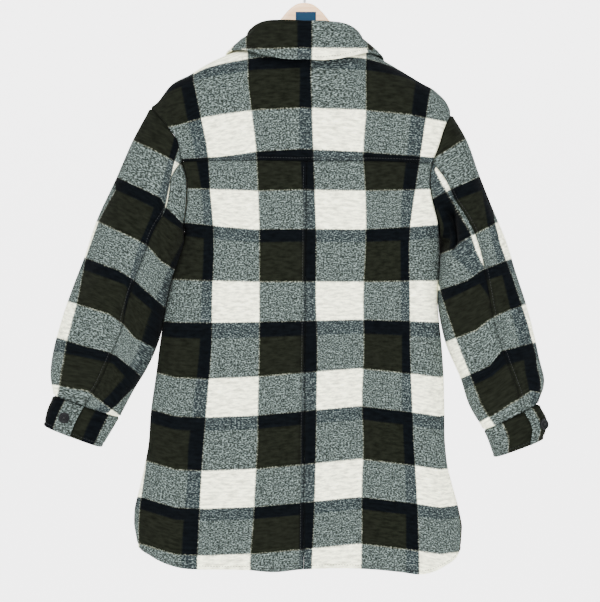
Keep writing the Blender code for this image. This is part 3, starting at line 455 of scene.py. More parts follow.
# Cells of the cloth grids, and the share of a grid over which they close up
GRADED_REACH = 0.14
HALF_CELLS = 88
SHOULDER_CELLS = 39
NECK_TURN_CELLS = 18
VENT_CELLS = 14
SKIRT_CELLS = 138
BACK_ARMHOLE_CELLS = 36
FRONT_SEAM_CELLS = 24
FRONT_ARMHOLE_CELLS = 48
FRONT_SEAM_RISE = 0.389
YOKE_CELLS = 84
SLEEVE_CELLS = 140
CUFF_CELLS = 250
CUFF_ROWS = 24
PLACKET_CELLS = 16
STAND_ROWS = 13
ARMHOLE_STEPS = 600


def smooth(at: Array, knots: Array, values: Array) -> Array:
    """Read a smooth curve through values.

    Between two knots it is a cubic that keeps the mean slope at each knot.

    Args:
        at: Places to read.
        knots: Places of the values, in any order.
        values: Values at the knots: numbers, or whole rows of points.

    Returns:
        The curve's values, level beyond the first and last knots.
    """
    order = np.argsort(knots)
    knots, values = knots[order], values[order]
    slopes = np.gradient(values, knots, axis=0)
    at = np.clip(at, knots[0], knots[-1])
    cell = np.clip(np.searchsorted(knots, at) - 1, 0, len(knots) - 2)
    spread = (..., *[None] * (values.ndim - 1))
    width = (knots[cell + 1] - knots[cell])[spread]
    t = (at - knots[cell])[spread] / width
    rise = (values[cell + 1] - values[cell]) * (3 * t**2 - 2 * t**3)
    turn = slopes[cell] * (t**3 - 2 * t**2 + t) + slopes[cell + 1] * (t**3 - t**2)
    return values[cell] + rise + width * turn


def ease(t: Array) -> Array:
    """Go from 0 to 1 with level ends."""
    t = np.clip(t, 0, 1)
    return t * t * (3 - 2 * t)


def unit(vectors: Array) -> Array:
    """Scale vectors along the last axis to length 1."""
    return vectors / np.linalg.norm(vectors, axis=-1, keepdims=True)


def signed_power(values: Array, power: float) -> Array:
    """Raise the sizes of values to a power and keep their signs."""
    return np.sign(values) * np.abs(values) ** power


def bell(distance: Array, reach: float) -> Array:
    """Fall from 1 to almost 0 in a bell over twice the reach."""
    return np.exp(-((distance / reach) ** 2))


def graded(cells: int, first: float = 0.0, last: float = 0.0) -> Array:
    """Weights from 0 to 1 that lie closer together at the ends.

    Args:
        cells: Number of steps.
        first: Share by which the first steps are shorter.
        last: Share by which the last steps are shorter.

    Returns:
        The cells + 1 weights.
    """
    u = (np.arange(cells) + 0.5) / cells
    steps = 1 - first * bell(u, GRADED_REACH) - last * bell(1 - u, GRADED_REACH)
    return np.concatenate([[0], np.cumsum(steps)]) / steps.sum()


def piecewise(at: Array, marks: Array, values: Array, outside: float = 1.0) -> Array:
    """Read straight stretches between marks that may differ at every place.

    Args:
        at: Places to read.
        marks: Rising marks on a last axis of its own.
        values: One value for each mark.
        outside: Slope before the first and after the last mark.

    Returns:
        The values at the places.
    """
    read = values[0] + outside * np.minimum(at - marks[..., 0], 0)
    read = read + outside * np.maximum(at - marks[..., -1], 0)
    for k in range(len(values) - 1):
        share = np.clip((at - marks[..., k]) / (marks[..., k + 1] - marks[..., k]), 0, 1)
        read = read + (values[k + 1] - values[k]) * share
    return read


def crossings(offsets: Array, arc: Array) -> Array:
    """Find where each row of rising offsets passes zero.

    Args:
        offsets: Signed distances from a line, rising along each row.
        arc: Distance along each row.

    Returns:
        The distance along each row at the line, run on beyond the ends.
    """
    last = offsets.shape[1] - 1
    after = np.clip((offsets < 0).sum(axis=1), 1, last)[:, None]
    off_a, off_b = (np.take_along_axis(offsets, k, 1)[:, 0] for k in (after - 1, after))
    arc_a, arc_b = (np.take_along_axis(arc, k, 1)[:, 0] for k in (after - 1, after))
    inside = arc_a + (arc_b - arc_a) * np.clip(-off_a / np.maximum(off_b - off_a, TINY), 0, 1)
    inside = np.where(offsets[:, 0] > 0, arc[:, 0] - offsets[:, 0], inside)
    return np.where(offsets[:, -1] < 0, arc[:, -1] - offsets[:, -1], inside)


def arc_along(points: Array, axis: int) -> Array:
    """Distance along each line of a grid from its first point."""
    steps = np.linalg.norm(np.diff(points, axis=axis), axis=-1)
    start = np.zeros_like(np.take(steps, [0], axis))
    return np.concatenate([start, np.cumsum(steps, axis=axis)], axis=axis)


def as_seen(points: Array) -> tuple[Array, Array]:
    """Where points seem to lie on the garment's middle plane, seen from the eye."""
    away = -EYE[1] / (points[..., 1] - EYE[1])
    return EYE[0] + (points[..., 0] - EYE[0]) * away, EYE[2] + (points[..., 2] - EYE[2]) * away


def crease_lift(x: Array, z: Array, creases: Table) -> Array:
    """How far creases lift the cloth.

    Each crease is a bell across its line, which fades in and out towards its
    two ends.

    Args:
        x: Places across.
        z: Heights.
        creases: The table of creases.

    Returns:
        The lift at each place.
    """
    lift = np.zeros_like(x)
    for x_a, z_a, x_b, z_b, half_width, crest in zip(*creases.values()):
        along = np.array([x_b - x_a, z_b - z_a])
        length = np.hypot(*along)
        t = ((x - x_a) * along[0] + (z - z_a) * along[1]) / length**2
        off = ((x - x_a) * along[1] - (z - z_a) * along[0]) / length
        lift = lift + crest * bell(off, half_width) * ease(3 * t) * ease(3 * (1 - t))
    return lift


def sway(x: Array, z: Array) -> Array:
    """Slight unevenness of thick cloth: a few crossing waves of unequal length."""
    waves = 0.30 * np.sin(x / 0.019 + 2.1 * np.sin(z / 0.061)) * np.sin(z / 0.047 + 0.8)
    waves = waves + 0.22 * np.sin(x / 0.031 - z / 0.044 + 1.3) + 0.16 * np.sin(z / 0.023 + x / 0.052)
    return waves * MM


class Edge(Enum):
    """How an edge of a cut piece is finished."""

    SEWN = "sewn to its neighbour"
    STITCHED = "sewn to its neighbour, with a row of stitches beside the seam"
    BOUND = "turned in, with a row of stitches beside the edge"
    FREE = "turned in"


@dataclass(frozen=True)
class Edges:
    """How the four edges of a piece are finished: its rows' ends and its first and last rows."""

    low: Edge
    high: Edge
    first: Edge
    last: Edge

    def sides(self) -> tuple[tuple[Edge, int, bool], ...]:
        """Each edge with the axis that leads away from it, and whether it is the far one."""
        return ((self.low, 0, False), (self.high, 0, True), (self.first, 1, False), (self.last, 1, True))


@dataclass(frozen=True)
class Ripple:
    """A bell-shaped ridge or groove beside an edge, which may grow and shrink as cloth puckers."""

    beside: tuple[Edge, Edge]
    place: float
    reach: float
    lift: float
    puckers: bool


SEAMS, TURNED_IN = (Edge.SEWN, Edge.STITCHED), (Edge.STITCHED, Edge.BOUND)
STITCH_INSET = 6 * MM
RIPPLES = (
    Ripple(SEAMS, 0.0, 1.7 * MM, -2.6 * MM, False),
    Ripple(SEAMS, 3.6 * MM, 2.2 * MM, 0.6 * MM, True),
    Ripple(TURNED_IN, 2.8 * MM, 2.0 * MM, 0.45 * MM, True),
    Ripple(TURNED_IN, STITCH_INSET, 1.2 * MM, -1.2 * MM, False),
    Ripple(TURNED_IN, 9.5 * MM, 2.4 * MM, 0.25 * MM, True),
)


def edge_relief(distance: Array, along: Array, edge: Edge) -> Array:
    """How far the cloth stands up or dips beside an edge.

    A seam is a bell-shaped groove. Beside it the turned-in cloth makes a soft
    ridge, which ends at the dip of the stitches. The ridges grow and shrink
    along the seam in uneven waves, as cloth puckers.

    Args:
        distance: How far each point is from the edge.
        along: How far along the edge each point is.
        edge: The finish of the edge.

    Returns:
        The lift at each point.
    """
    pucker = 1 + 0.30 * np.sin(along / 0.0105 + 1.7 * np.sin(along / 0.037)) + 0.2 * np.sin(along / 0.0051)
    lift = np.zeros_like(distance)
    for ripple in RIPPLES:
        if edge in ripple.beside:
            height = ripple.lift * pucker if ripple.puckers else ripple.lift
            lift = lift + height * bell(distance - ripple.place, ripple.reach)
    return lift


@dataclass
class Panel:
    """A cut piece of cloth: its outer face as a grid of points, with outward directions and grain."""

    name: str
    points: Array
    normals: Array
    grain: Array | None = None

    @classmethod
    def around(cls, name: str, points: Array, core: Array) -> Panel:
        """Make a panel that faces away from the core points."""
        normals = unit(np.cross(np.gradient(points, axis=1), np.gradient(points, axis=0)))
        if np.sum(normals * (points - core)) < 0:
            normals = -normals
        return cls(name, points, normals)

    def relieve(self, edges: Edges, creases: Array, fade: float) -> None:
        """Move the face by its creases and by the relief beside its edges.

        Args:
            edges: The finish of its edges.
            creases: Lift of the creases at each point.
            fade: Distance over which the creases fade out towards sewn edges.
        """
        inward, lift = np.ones(creases.shape), np.zeros(creases.shape)
        for edge, axis, far in edges.sides():
            distance = arc_along(self.points, axis)
            if far:
                distance = np.take(distance, [-1], axis) - distance
            along = arc_along(self.points, 1 - axis)
            lift = lift + edge_relief(distance, along, edge)
            if edge in SEAMS:
                inward = inward * ease(distance / fade)
        self.points = self.points + (lift + creases * inward)[..., None] * self.normals

    def line_beside(self, axis: int, far: bool, inset: float) -> tuple[Array, Array]:
        """The line at a distance from an edge, with the outward directions along it.

        Args:
            axis: Axis that leads away from the edge.
            far: Whether the edge is the far one.
            inset: Distance from the edge.

        Returns:
            Points and directions.
        """
        points = np.moveaxis(self.points, axis, 0)
        normals = np.moveaxis(self.normals, axis, 0)
        if far:
            points, normals = points[::-1], normals[::-1]
        arc = arc_along(points, 0)
        after = np.clip((arc < inset).sum(axis=0), 1, len(arc) - 1)
        lines = np.arange(len(after))
        arc_a, arc_b = arc[after - 1, lines], arc[after, lines]
        t = ((inset - arc_a) / (arc_b - arc_a))[:, None]
        at, facing = (grid[after - 1, lines] * (1 - t) + grid[after, lines] * t for grid in (points, normals))
        return at, unit(facing)


Place = tuple[object, object]


def share(
    first: Panel, first_edge: Place, second: Panel, second_edge: Place, weight: Array | float = 1.0,
) -> None:
    """Give two sewn edges one direction, or bring them nearer by a weight."""
    own = first.normals[first_edge].copy()
    other = second.normals[second_edge].copy()
    first.normals[first_edge] = unit(own + weight * other)
    second.normals[second_edge] = unit(other + weight * own)


def flatten_edge(panel: Panel, row: int, sections: Table) -> None:
    """Turn a row's directions into the plane of its section, so that it meets the next ring."""
    across_x = sections["x_in"][row] - sections["x_out"][row]
    across_z = sections["z_in"][row] - sections["z_out"][row]
    square = unit(np.array([-across_z, 0, across_x]))
    own = panel.normals[row]
    panel.normals[row] = unit(own - (own @ square)[:, None] * square)


def patch(left: Array, right: Array, bottom: Array, top: Array, across: Array, up: Array) -> Array:
    """Fill four edges with a grid.

    A point is the mix of its row's two ends, plus what the bottom and the top
    edge stand off the straight line between their own ends, mixed by height.

    Args:
        left: Left edge, a point for each row.
        right: Right edge, a point for each row.
        bottom: Bottom edge, a point for each column.
        top: Top edge, a point for each column.
        across: Each column's weight towards the right edge.
        up: Each row's weight towards the top edge.

    Returns:
        The grid of points.
    """
    across, up = across[:, None], up[:, None, None]
    rows = (1 - across) * left[:, None] + across * right[:, None]
    low = bottom - (1 - across) * bottom[0] - across * bottom[-1]
    high = top - (1 - across) * top[0] - across * top[-1]
    return rows + (1 - up) * low + up * high


def edge_line(x: Array, z: Array) -> Array:
    """Points of an edge in the plane seen from behind."""
    return np.stack([x, z], axis=-1)


def unrolled(across: Array, arc: Array) -> Array:
    """Lay out rows that turn back at their two sides, so that they rise all along.

    Before a row's lowest value and after its highest one, the distance along
    the row takes the place of the value.
    """
    low = np.argmin(across, axis=1)[:, None]
    at = np.arange(across.shape[1])[None]
    high = np.argmax(np.where(at >= low, across, -np.inf), axis=1)[:, None]
    before = np.take_along_axis(across, low, 1) - np.take_along_axis(arc, low, 1) + arc
    after = np.take_along_axis(across, high, 1) - np.take_along_axis(arc, high, 1) + arc
    return np.where(at < low, before, np.where(at > high, after, across))


def ridge_z(x: Array) -> Array:
    """Height of the shoulder line."""
    return smooth(x, RIDGE["x"], RIDGE["z"])


def yoke_seam_z(x: Array) -> Array:
    """Height of the yoke seam."""
    return smooth(x, YOKE_SEAM["x"], YOKE_SEAM["z"])


def centre_back_x(z: Array) -> Array:
    """Centre back seam at a height."""
    return smooth(z, CENTRE_BACK["z"], CENTRE_BACK["x"])


@dataclass(frozen=True)
class Side:
    """One side of the body, seen from behind: its armhole, its side seam and its hem corner."""

    name: str
    sign: int
    armhole: Table
    seam_x: Array
    corner: tuple[float, float]

    @property
    def underarm(self) -> float:
        """Height of the underarm."""
        return self.armhole["z"][-1]

    def edge(self, z: Array) -> Array:
        """Edge of the body: the side seam, and above the underarm the armhole seam."""
        up = smooth(z, self.armhole["z"], self.armhole["x"])
        return np.where(z > self.underarm, up, smooth(z, SIDES["z"], self.seam_x))

    def depth(self, z: Array) -> Array:
        """Half depth of the armhole: nothing at the shoulder tip and at the underarm."""
        top, low = self.armhole["z"][0], self.underarm
        w = np.clip(np.abs(2 * z - top - low) / (top - low), 0, 1)
        return ARMHOLE_DEPTH * (1 - w**FULLNESS) ** (1 / FULLNESS)

    def heights(self) -> Array:
        """Close heights up the armhole."""
        return np.linspace(self.underarm, self.armhole["z"][0], ARMHOLE_STEPS)

    def seam_meets(self) -> float:
        """Height at which the yoke seam meets the armhole."""
        z = self.heights()
        return float(np.interp(0, z - yoke_seam_z(self.edge(z)), z))

    def front_edge_meets(self) -> float:
        """Height at which the yoke's front edge meets the armhole."""
        z = self.heights()
        return float(np.interp(-YOKE_OVER_FRONT, z - ridge_z(self.edge(z)), z))


LEFT = Side("left", -1, LEFT_ARMHOLE, SIDES["left"], LEFT_HEM_CORNER)
RIGHT = Side("right", 1, RIGHT_ARMHOLE, SIDES["right"], RIGHT_HEM_CORNER)


def roll_of(drop: Array) -> Array:
    """Turn a drop below the shoulder line into a distance round its roll."""
    return np.arccos(1 - np.clip(drop / SHOULDER_ROLL, 0, 1)) + np.maximum(drop / SHOULDER_ROLL - 1, 0)


def drop_of(roll: Array) -> Array:
    """Turn a distance round the shoulder's roll into a drop below its line."""
    roll = np.abs(roll)
    return SHOULDER_ROLL * (1 - np.cos(np.minimum(roll, np.pi / 2)) + np.maximum(roll - np.pi / 2, 0))


def body_depth(x: Array, z: Array, folds: Table) -> Array:
    """Half depth of the body at a point of the back or the front.

    Across, it is a full oval between the edges. Up to the shoulder line it
    closes in a quarter circle, and the long soft folds lift it.
    """
    left, right = LEFT.edge(z), RIGHT.edge(z)
    q = np.clip(np.abs(2 * x - left - right) / (right - left), 0, 1)
    edge = np.where(2 * x < left + right, LEFT.depth(z), RIGHT.depth(z))
    crown = smooth(z, DEPTH["z"], DEPTH["depth"])
    full = (edge**FULLNESS + (crown**FULLNESS - edge**FULLNESS) * (1 - q**FULLNESS)) ** (1 / FULLNESS)
    turn = 1 - np.clip((ridge_z(x) - z) / SHOULDER_ROLL, 0, 1)
    lift = np.zeros_like(x)
    for x_top, z_top, x_low, z_low, half_width, crest in zip(*folds.values()):
        down = (z_top - z) / (z_top - z_low)
        lift = lift + crest * ease(down * 1.6) * bell(x - x_top - (x_low - x_top) * down, half_width)
    return full * np.sqrt(1 - turn**2) + lift * (1 - q**6)


def row_droop(x: Array, z: Array) -> Array:
    """How far a row of the plaid hangs below its height at the centre line, in millimetres."""
    levels = np.stack([np.interp(x, ROW_DROOP_X, row) for row in zip(*list(ROW_DROOP.values())[1:])])
    place = np.interp(-z, -ROW_DROOP["z"], np.arange(len(levels)))
    low = np.clip(place.astype(int), 0, len(levels) - 2)
    part = place - low
    mixed = np.take_along_axis(levels, low[None], 0)[0] * (1 - part)
    return (mixed + np.take_along_axis(levels, low[None] + 1, 0)[0] * part) / MM


def columns_of_body(x: Array, z: Array, arc: Array) -> Array:
    """Place across the cloth of the back and the yoke, in millimetres."""
    lines = list(BACK_WARP_LINES.values())
    marks = [crossings(x - smooth(z, lines[0], line), arc) for line in lines[1:]]
    return piecewise(arc / MM, np.stack(marks, axis=-1)[:, None] / MM, BACK_WARP_VALUES)


def rows_of_cloth(z: Array, rows: Table) -> Array:
    """Place down the cloth at heights in millimetres."""
    return piecewise(-z, -rows["z"] / MM, rows["cloth"] / MM)


@dataclass
class Body:
    """Backs, yoke, fronts and placket, which close round the wearer's trunk."""

    crease_fade: float = 14 * MM
    placket_left: float = -16 * MM
    placket_right: float = 17 * MM
    placket_foot: float = 3 * MM
    front_stripe: tuple[float, float] = (-3 * MM, 15 * MM)
    across: Array = field(default_factory=lambda: graded(HALF_CELLS, 0.45, 0.6))

    def half(
        self, side: Side, inner_x: float | None, rise: float, low: float, top: Array, levels: Array,
    ) -> Array:
        """Lay out the grid of a half back or front in the plane seen from behind.

        Rows run from the hem's corner up the side and the armhole on one edge,
        and up the centre line on the other.

        Args:
            side: The side of the body.
            inner_x: The centre line's place, or None for the curved centre back.
            rise: How far the hem lies above the back's.
            low: Lowest height on the centre line.
            top: Top edge from the armhole to the centre.
            levels: Heights up the armhole.

        Returns:
            The grid, left to right.
        """
        corner = (side.corner[0], side.corner[1] + rise)
        vent = corner[1] + (VENT_TOP - corner[1]) * graded(VENT_CELLS, 0.6)
        skirt = np.linspace(VENT_TOP, side.underarm, SKIRT_CELLS + 1)
        z_side = np.concatenate([vent[:-1], skirt, levels[1:]])
        x_side = side.edge(z_side)
        slit = (vent[:-1] - corner[1]) / (VENT_TOP - corner[1])
        x_side[:VENT_CELLS] = corner[0] + (x_side[VENT_CELLS] - corner[0]) * slit
        up = (z_side - z_side[0]) / (z_side[-1] - z_side[0])
        z_inner = low + (top[-1, 1] - low) * up
        x_inner = centre_back_x(z_inner) if inner_x is None else np.full_like(z_inner, inner_x)
        x_hem = corner[0] + (x_inner[0] - corner[0]) * self.across
        hem = edge_line(x_hem, smooth(x_hem, HEM["x"], HEM["z"]) + rise)
        grid = patch(edge_line(x_side, z_side), edge_line(x_inner, z_inner), hem, top, self.across, up)
        return grid[:, ::-1] if side.sign > 0 else grid

    def panel(self, name: str, points: Array) -> Panel:
        """Make a panel that faces away from the body's middle plane."""
        return Panel.around(name, points, points * np.array([1, 0, 1]))

    def back_grain(self, panel: Panel) -> Array:
        """Place of each point of a back on the cloth."""
        x, z = as_seen(panel.points)
        rows = rows_of_cloth(z / MM + row_droop(x, z), BACK_WEFT)
        return np.stack([columns_of_body(x, z, arc_along(panel.points, 1)), rows], axis=-1)

    def front_grain(self, panel: Panel) -> Array:
        """Place of each point of a front on the cloth: a dark column runs down its middle."""
        x, z = panel.points[..., 0], panel.points[..., 2]
        arc = arc_along(panel.points, 1)
        marks = np.stack([crossings(x - line, arc) for line in self.front_stripe], axis=-1)[:, None]
        columns = piecewise(arc / MM, marks / MM, np.array([WARP_REPEAT, WARP_REPEAT + WARP_NAVY]))
        return np.stack([columns, rows_of_cloth((z + FRONT_ROW_SHIFT) / MM, BACK_WEFT)], axis=-1)

    def seam_half(self, side: Side) -> Array:
        """Places across of the yoke seam from the armhole to the centre back."""
        start = side.edge(np.array([side.seam_meets()]))[0]
        centre = centre_back_x(yoke_seam_z(np.zeros(1)))[0]
        return start + (centre - start) * self.across

    def backs(self) -> list[Panel]:
        """Two backs, sewn together down the centre and to the yoke above."""
        panels = []
        for side in (LEFT, RIGHT):
            seam_z = side.seam_meets()
            x_top = self.seam_half(side)
            low_x = centre_back_x(np.array([HEM["z"].min()]))
            low = smooth(low_x, HEM["x"], HEM["z"])[0]
            levels = side.underarm + (seam_z - side.underarm) * graded(BACK_ARMHOLE_CELLS, 0.2, 0.6)
            grid = self.half(side, None, 0.0, low, edge_line(x_top, yoke_seam_z(x_top)), levels)
            x, z = grid[..., 0], grid[..., 1]
            points = np.stack([x, -body_depth(x, z, BACK_FOLDS), z], axis=-1)
            panels.append(self.panel(f"back_{side.name}", points))
        return panels

    def shoulder_edge(self, side: Side) -> Array:
        """Front edge of the yoke from the armhole to the neck."""
        x_arm = side.edge(np.array([side.front_edge_meets()]))[0]
        x = np.linspace(x_arm, side.sign * FRONT_NECK["x"][0], SHOULDER_CELLS + 1)
        return edge_line(x, ridge_z(x) - YOKE_OVER_FRONT)

    def fronts(self) -> list[Panel]:
        """Two fronts that meet under the placket."""
        panels = []
        for side in (LEFT, RIGHT):
            shoulder = self.shoulder_edge(side)
            neck_x = side.sign * FRONT_NECK["x"]
            neck_x[-1] = CENTRE_FRONT
            even = np.linspace(0, 1, HALF_CELLS - SHOULDER_CELLS + 1)
            steps = np.linspace(0, 1, len(neck_x))
            neck = edge_line(smooth(even, steps, neck_x), smooth(even, steps, FRONT_NECK["z"]))
            neck[0] = shoulder[-1]
            low = smooth(np.array([CENTRE_FRONT]), HEM["x"], HEM["z"])[0] + FRONT_HEM_RISE
            tall = shoulder[0, 1] - side.underarm
            seam_rows = np.linspace(0, FRONT_SEAM_RISE, FRONT_SEAM_CELLS + 1)
            rest = np.linspace(FRONT_SEAM_RISE, 1, FRONT_ARMHOLE_CELLS - FRONT_SEAM_CELLS + 1)
            levels = side.underarm + tall * np.concatenate([seam_rows, rest[1:]])
            top = np.concatenate([shoulder[:-1], neck])
            grid = self.half(side, CENTRE_FRONT, FRONT_HEM_RISE, low, top, levels)
            x, z = grid[..., 0], grid[..., 1]
            points = np.stack([x, body_depth(x, z, FRONT_FOLDS), z], axis=-1)
            panels.append(self.panel(f"front_{side.name}", points))
        return panels

    def yoke(self) -> Panel:
        """The yoke: from its seam up the back, over the shoulders and a little down the front."""
        shoulders = []
        for side in (LEFT, RIGHT):
            line = self.shoulder_edge(side)
            shoulders.append(edge_line(line[:, 0], -roll_of(ridge_z(line[:, 0]) - line[:, 1])))
        neck_cells = 2 * (HALF_CELLS - SHOULDER_CELLS - NECK_TURN_CELLS)
        x_neck = np.linspace(BACK_NECK["x"][0], BACK_NECK["x"][-1], neck_cells + 1)
        neck = edge_line(x_neck, roll_of(ridge_z(x_neck) - smooth(x_neck, BACK_NECK["x"], BACK_NECK["z"])))
        turn = np.linspace(0, 1, NECK_TURN_CELLS + 1)[1:-1, None]
        left_turn = shoulders[0][-1] * (1 - turn) + neck[0] * turn
        right_turn = neck[-1] * (1 - turn) + shoulders[1][-1] * turn
        top = np.concatenate([shoulders[0], left_turn, neck, right_turn, shoulders[1][::-1]])

        x_seam = np.concatenate([self.seam_half(LEFT), self.seam_half(RIGHT)[-2::-1]])
        bottom = edge_line(x_seam, roll_of(ridge_z(x_seam) - yoke_seam_z(x_seam)))

        up = graded(YOKE_CELLS, 0.6, 0.3)
        edges = []
        for side, column in ((LEFT, 0), (RIGHT, -1)):
            z = side.heights()
            x = side.edge(z)
            rolls = roll_of(ridge_z(x) - z)
            wanted = (1 - up) * bottom[column, 1] + up * top[column, 1]
            loop = np.concatenate([-rolls, rolls[::-1]])
            edges.append(edge_line(np.interp(-wanted, loop, np.concatenate([x, x[::-1]])), wanted))
        across = (x_seam - x_seam[0]) / (x_seam[-1] - x_seam[0])
        grid = patch(edges[0], edges[1], bottom, top, across, up)
        x, roll = grid[..., 0], grid[..., 1]
        z = ridge_z(x) - drop_of(roll)
        depth = body_depth(x, z, BACK_FOLDS)
        panel = self.panel("back_yoke", np.stack([x, np.where(roll > 0, -depth, depth), z], axis=-1))
        x_seen, _ = as_seen(panel.points)
        level = ridge_z(x) - SHOULDER_ROLL * (1 + roll - np.pi / 2)
        z_seen = EYE[2] + (level - EYE[2]) * -EYE[1] / (panel.points[..., 1] - EYE[1])
        rows = rows_of_cloth(z_seen / MM + row_droop(x_seen, z_seen), YOKE_WEFT)
        panel.grain = np.stack([columns_of_body(x_seen, z_seen, arc_along(panel.points, 1)), rows], axis=-1)
        return panel

    def placket(self, front: Panel) -> Panel:
        """The strip down the front edge, made from the front's points and moved out."""
        z = front.points[:, -1, 2]
        z = np.concatenate([z[:-1], [z[-1] - self.placket_foot]])
        x = self.placket_left + (self.placket_right - self.placket_left) * graded(PLACKET_CELLS, 0.3, 0.3)
        grid_x, grid_z = np.meshgrid(x, z)
        flat = np.stack([grid_x, body_depth(grid_x, grid_z, FRONT_FOLDS), grid_z], axis=-1)
        out = flat + (WALL + LAYER_GAP) * self.panel("front_placket", flat).normals
        return self.panel("front_placket", out)


def on_middle_plane(x: Array, z: Array) -> Array:
    """Points at no depth, one for each section."""
    return np.stack([x, 0 * x, z], axis=-1)[:, None]


def oval(rows: Table, angles: Array) -> Array:
    """Points round flat oval sections.

    A point is the section's middle plus a power of the angle's cosine towards
    the outer edge and of its sine in depth: angle 0 is the outer edge, a quarter
    turn the back.
    """
    out = on_middle_plane(rows["x_out"], rows["z_out"])
    inner = on_middle_plane(rows["x_in"], rows["z_in"])
    power = 2 / FULLNESS
    points = (out + inner) / 2 + (out - inner) / 2 * signed_power(np.cos(angles), power)[..., None]
    points[..., 1] = -signed_power(np.sin(angles), power) * rows["depth"][:, None]
    return points


def section_cores(rows: Table) -> Array:
    """Middle point of each section."""
    return on_middle_plane(rows["x_out"] + rows["x_in"], rows["z_out"] + rows["z_in"]) / 2


def angle_across(fraction: Array) -> Array:
    """Angle on an oval at a fraction of the way from its outer to its inner edge."""
    return np.arccos(signed_power(1 - 2 * fraction, FULLNESS / 2))


def refined(sections: Table, weights: Array) -> Table:
    """Read a table of sections at weights down its length, which is measured on its middle line."""
    core = section_cores(sections)[:, 0]
    along = np.concatenate([[0], np.cumsum(np.linalg.norm(np.diff(core, axis=0), axis=-1))])
    return {name: smooth(along[-1] * weights, along, column) for name, column in sections.items()}


